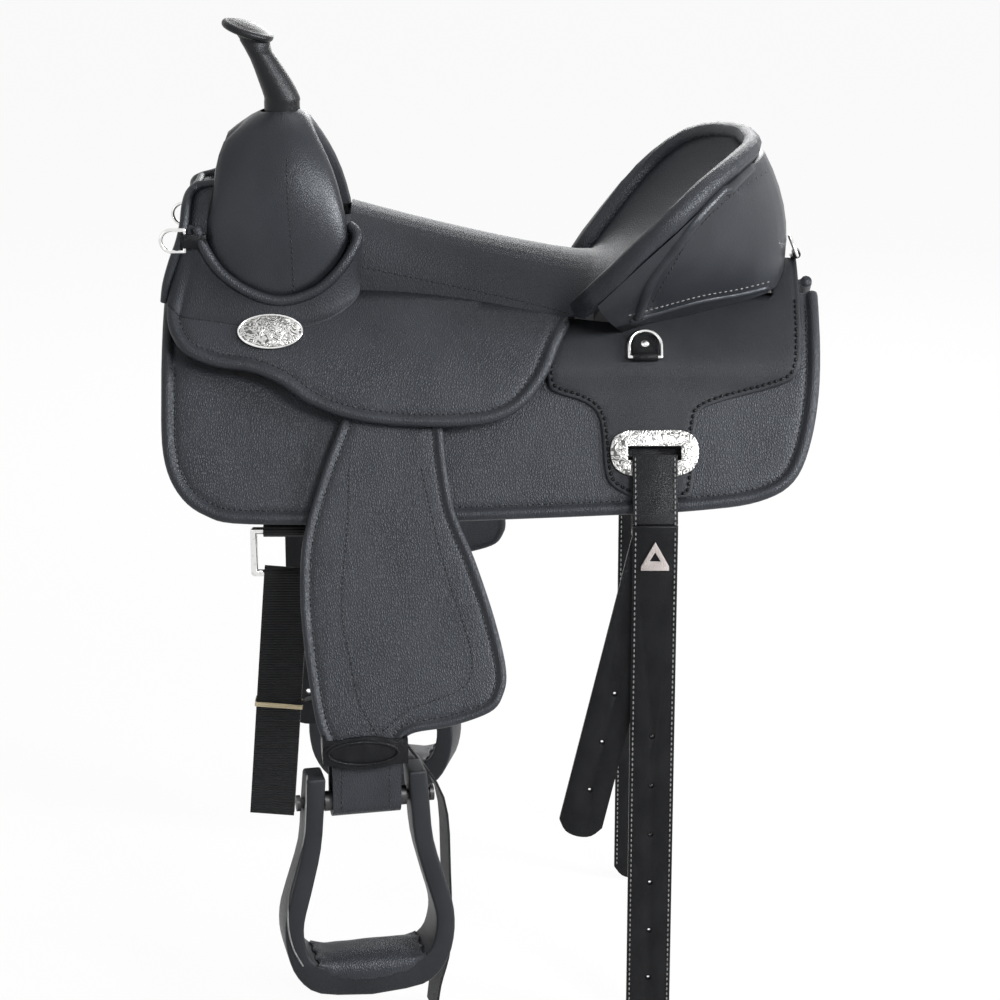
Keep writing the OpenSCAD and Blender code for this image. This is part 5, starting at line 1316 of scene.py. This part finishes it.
line = [Vector(q) for q in free_line]
ways = [(b - a).normalized() for a, b in zip([line[0], *line], [*line[1:], line[-1]])]
bm = bmesh.new()
grow_rows(bm, [ribbon_section(q, way) for q, way in zip(line, ways)], closed=True)
free_end = piece_of(bm, "free_end", WEB, body_of("tie_strap_tail"), ["tie_strap_tail"], SHARP)

# %% [markdown]
# ## Padding
# The treads are pads under tight leather, which laps over the front and back of the stirrup's foot. Each starts a
# little short, is remeshed evenly and blown up by Blender's cloth pressure for twenty frames, and no point may move
# further than a few millimetres. The off tread is the near one mirrored.


# %% Padded treads
def evened(bm, name, voxel):
    mesh = bpy.data.meshes.new(name)
    bm.to_mesh(mesh)
    bm.free()
    draft = put(name, mesh)
    even = draft.modifiers.new("even", "REMESH")
    even.mode, even.voxel_size = "VOXEL", voxel
    return evaluated(draft)


def blown_up(mesh, pressure, cap, frames=20):
    scene = bpy.context.scene
    pad = put("pad_draft", mesh)
    rest = [v.co.copy() for v in mesh.vertices]
    cloth = pad.modifiers.new("cloth", "CLOTH")
    cloth.settings.use_pressure = True
    cloth.settings.uniform_pressure_force = pressure
    cloth.settings.effector_weights.gravity = 0.0
    cloth.point_cache.frame_start, cloth.point_cache.frame_end = 1, frames
    for number in range(1, frames + 1):
        scene.frame_set(number)
    blown = [v.co.copy() for v in pad.evaluated_get(bpy.context.evaluated_depsgraph_get()).data.vertices]
    scene.frame_set(1)
    bpy.data.objects.remove(pad)
    moves = [(b - a) for a, b in zip(rest, blown)]
    return [a + m * min(1.0, cap / max(m.length, 1e-9)) for a, m in zip(rest, moves)], max(m.length for m in moves)


TREAD_CAP, TREAD_DEEP, TREAD_LAP, TREAD_TUCK, TREAD_SMOOTH, TREAD_PRESSURE = 0.005, 0.026, 1.16, 0.12, 6, 4.0
TREAD_SHORT, TREAD_LOW, TREAD_VOXEL, TREAD_YAW = 0.98, 0.002, 0.004, math.radians(12.0)
bm = merged_copy("tread_near")
low, high = (Vector(c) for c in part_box("tread_near"))
middle = (low + high) / 2
tread_long = Vector((math.cos(TREAD_YAW), math.sin(TREAD_YAW), 0.0))
tread_back = Vector((-math.sin(TREAD_YAW), math.cos(TREAD_YAW), 0.0))
for v in bm.verts:
    down = (high.z - v.co.z) / (high.z - low.z)
    off = v.co - middle
    along = tread_long * off.dot(tread_long) * (TREAD_SHORT - TREAD_TUCK * down)
    v.co = middle + along + tread_back * off.dot(tread_back) * TREAD_LAP
    v.co.z = high.z - TREAD_LOW - TREAD_DEEP * down
tread_mesh = evened(bm, "tread_even", TREAD_VOXEL)
tread_points = [v.co.copy() for v in tread_mesh.vertices]
tread_points, moved = blown_up(tread_mesh, TREAD_PRESSURE, TREAD_CAP)
print("tread swells by at most", round(1000 * min(moved, TREAD_CAP), 1), "mm")
for label, side in SIDES.items():
    bm = bmesh.new()
    bm.from_mesh(tread_mesh)
    for v, q in zip(bm.verts, tread_points):
        v.co = turned(q, side)
    for _ in range(TREAD_SMOOTH):
        bmesh.ops.smooth_vert(bm, verts=bm.verts, factor=0.5, use_axis_x=True, use_axis_y=True, use_axis_z=True)
    face_out(bm)
    node = "tread_" + label
    made = piece_of(bm, "tread_pad_" + label, GRAIN, body_of(node), [node])
    rounding = made.modifiers.new("rounding", "SUBSURF")
    rounding.levels = rounding.render_levels = 1

# %% [markdown]
# The linings are fleece. Their evened copy is drawn in by a fine noise, so the wool is lumpy but never stands into
# the skirts above it.

# %% Fleece linings
WOOL_DEEP, WOOL_LUMPS, WOOL_VOXEL = 0.003, 120.0, 0.005
bm = bmesh.new()
bm.from_mesh(evened(merged_copy("linings"), "fleece_even", WOOL_VOXEL))
bm.normal_update()
for v in bm.verts:
    v.co -= v.normal * WOOL_DEEP * (0.5 + 0.5 * noise.noise(v.co * WOOL_LUMPS))
fleece = piece_of(bm, "fleece_pads", FLEECE, body_of("linings"), ["linings"])

# %% Metal
CONCHO_X, CONCHO_S, CONCHO_LIFT, PLATE_EDGE = -0.220, 0.052, 0.0318, 0.0006
RIM_LONG, RIM_HIGH, RIM_RADIUS, RIM_POINTS = 0.0318, 0.0160, 0.0012, 56
for node in (
    "front_dee_near", "front_dee_off", "rear_dee_near", "rear_dee_off", "crupper_dee", "rigging_ring_near",
    "rigging_ring_off", "dee_rivets",
):
    softened(node, BRIGHT, sharp=35.0)
for node in ("conchos", "rigging_plate_near", "rigging_plate_off"):
    softened(node, SILVER, bevel=PLATE_EDGE)
for label, side in SIDES.items():
    turns = np.linspace(0.0, 2 * math.pi, RIM_POINTS, endpoint=False)
    ovals = [(CONCHO_X + RIM_LONG * math.cos(a), CONCHO_S + RIM_HIGH * math.sin(a)) for a in turns]
    rim = [on_flank(x, s, CONCHO_LIFT, side) for x, s in ovals]
    piping("concho_rim_" + label, rim, RIM_RADIUS, BRIGHT, closed=True)

# %% [markdown]
# ## Inside the saddle
# The tree and its pins hardly show, so their CAD nodes stay as they are and only get a finish.

# %% Tree and pins
# The ground seat takes the near-black metal whose tint is painted shade for the gap under the cantle's rim roll.
for node, finish in (
    ("bar_near", WOOD), ("bar_off", WOOD), ("fork", SMOOTH), ("cantle_board", SMOOTH), ("ground_seat", SHADED_GROUND_METAL),
    ("hanger_pins", PIN), ("stirrup_bolt_near", PIN), ("stirrup_bolt_off", PIN),
):
    NODES[node].data.materials.clear()
    NODES[node].data.materials.append(finish)
shown = sorted(n for n, o in NODES.items() if not o.hide_render)
print("CAD nodes shown as they are:", shown)
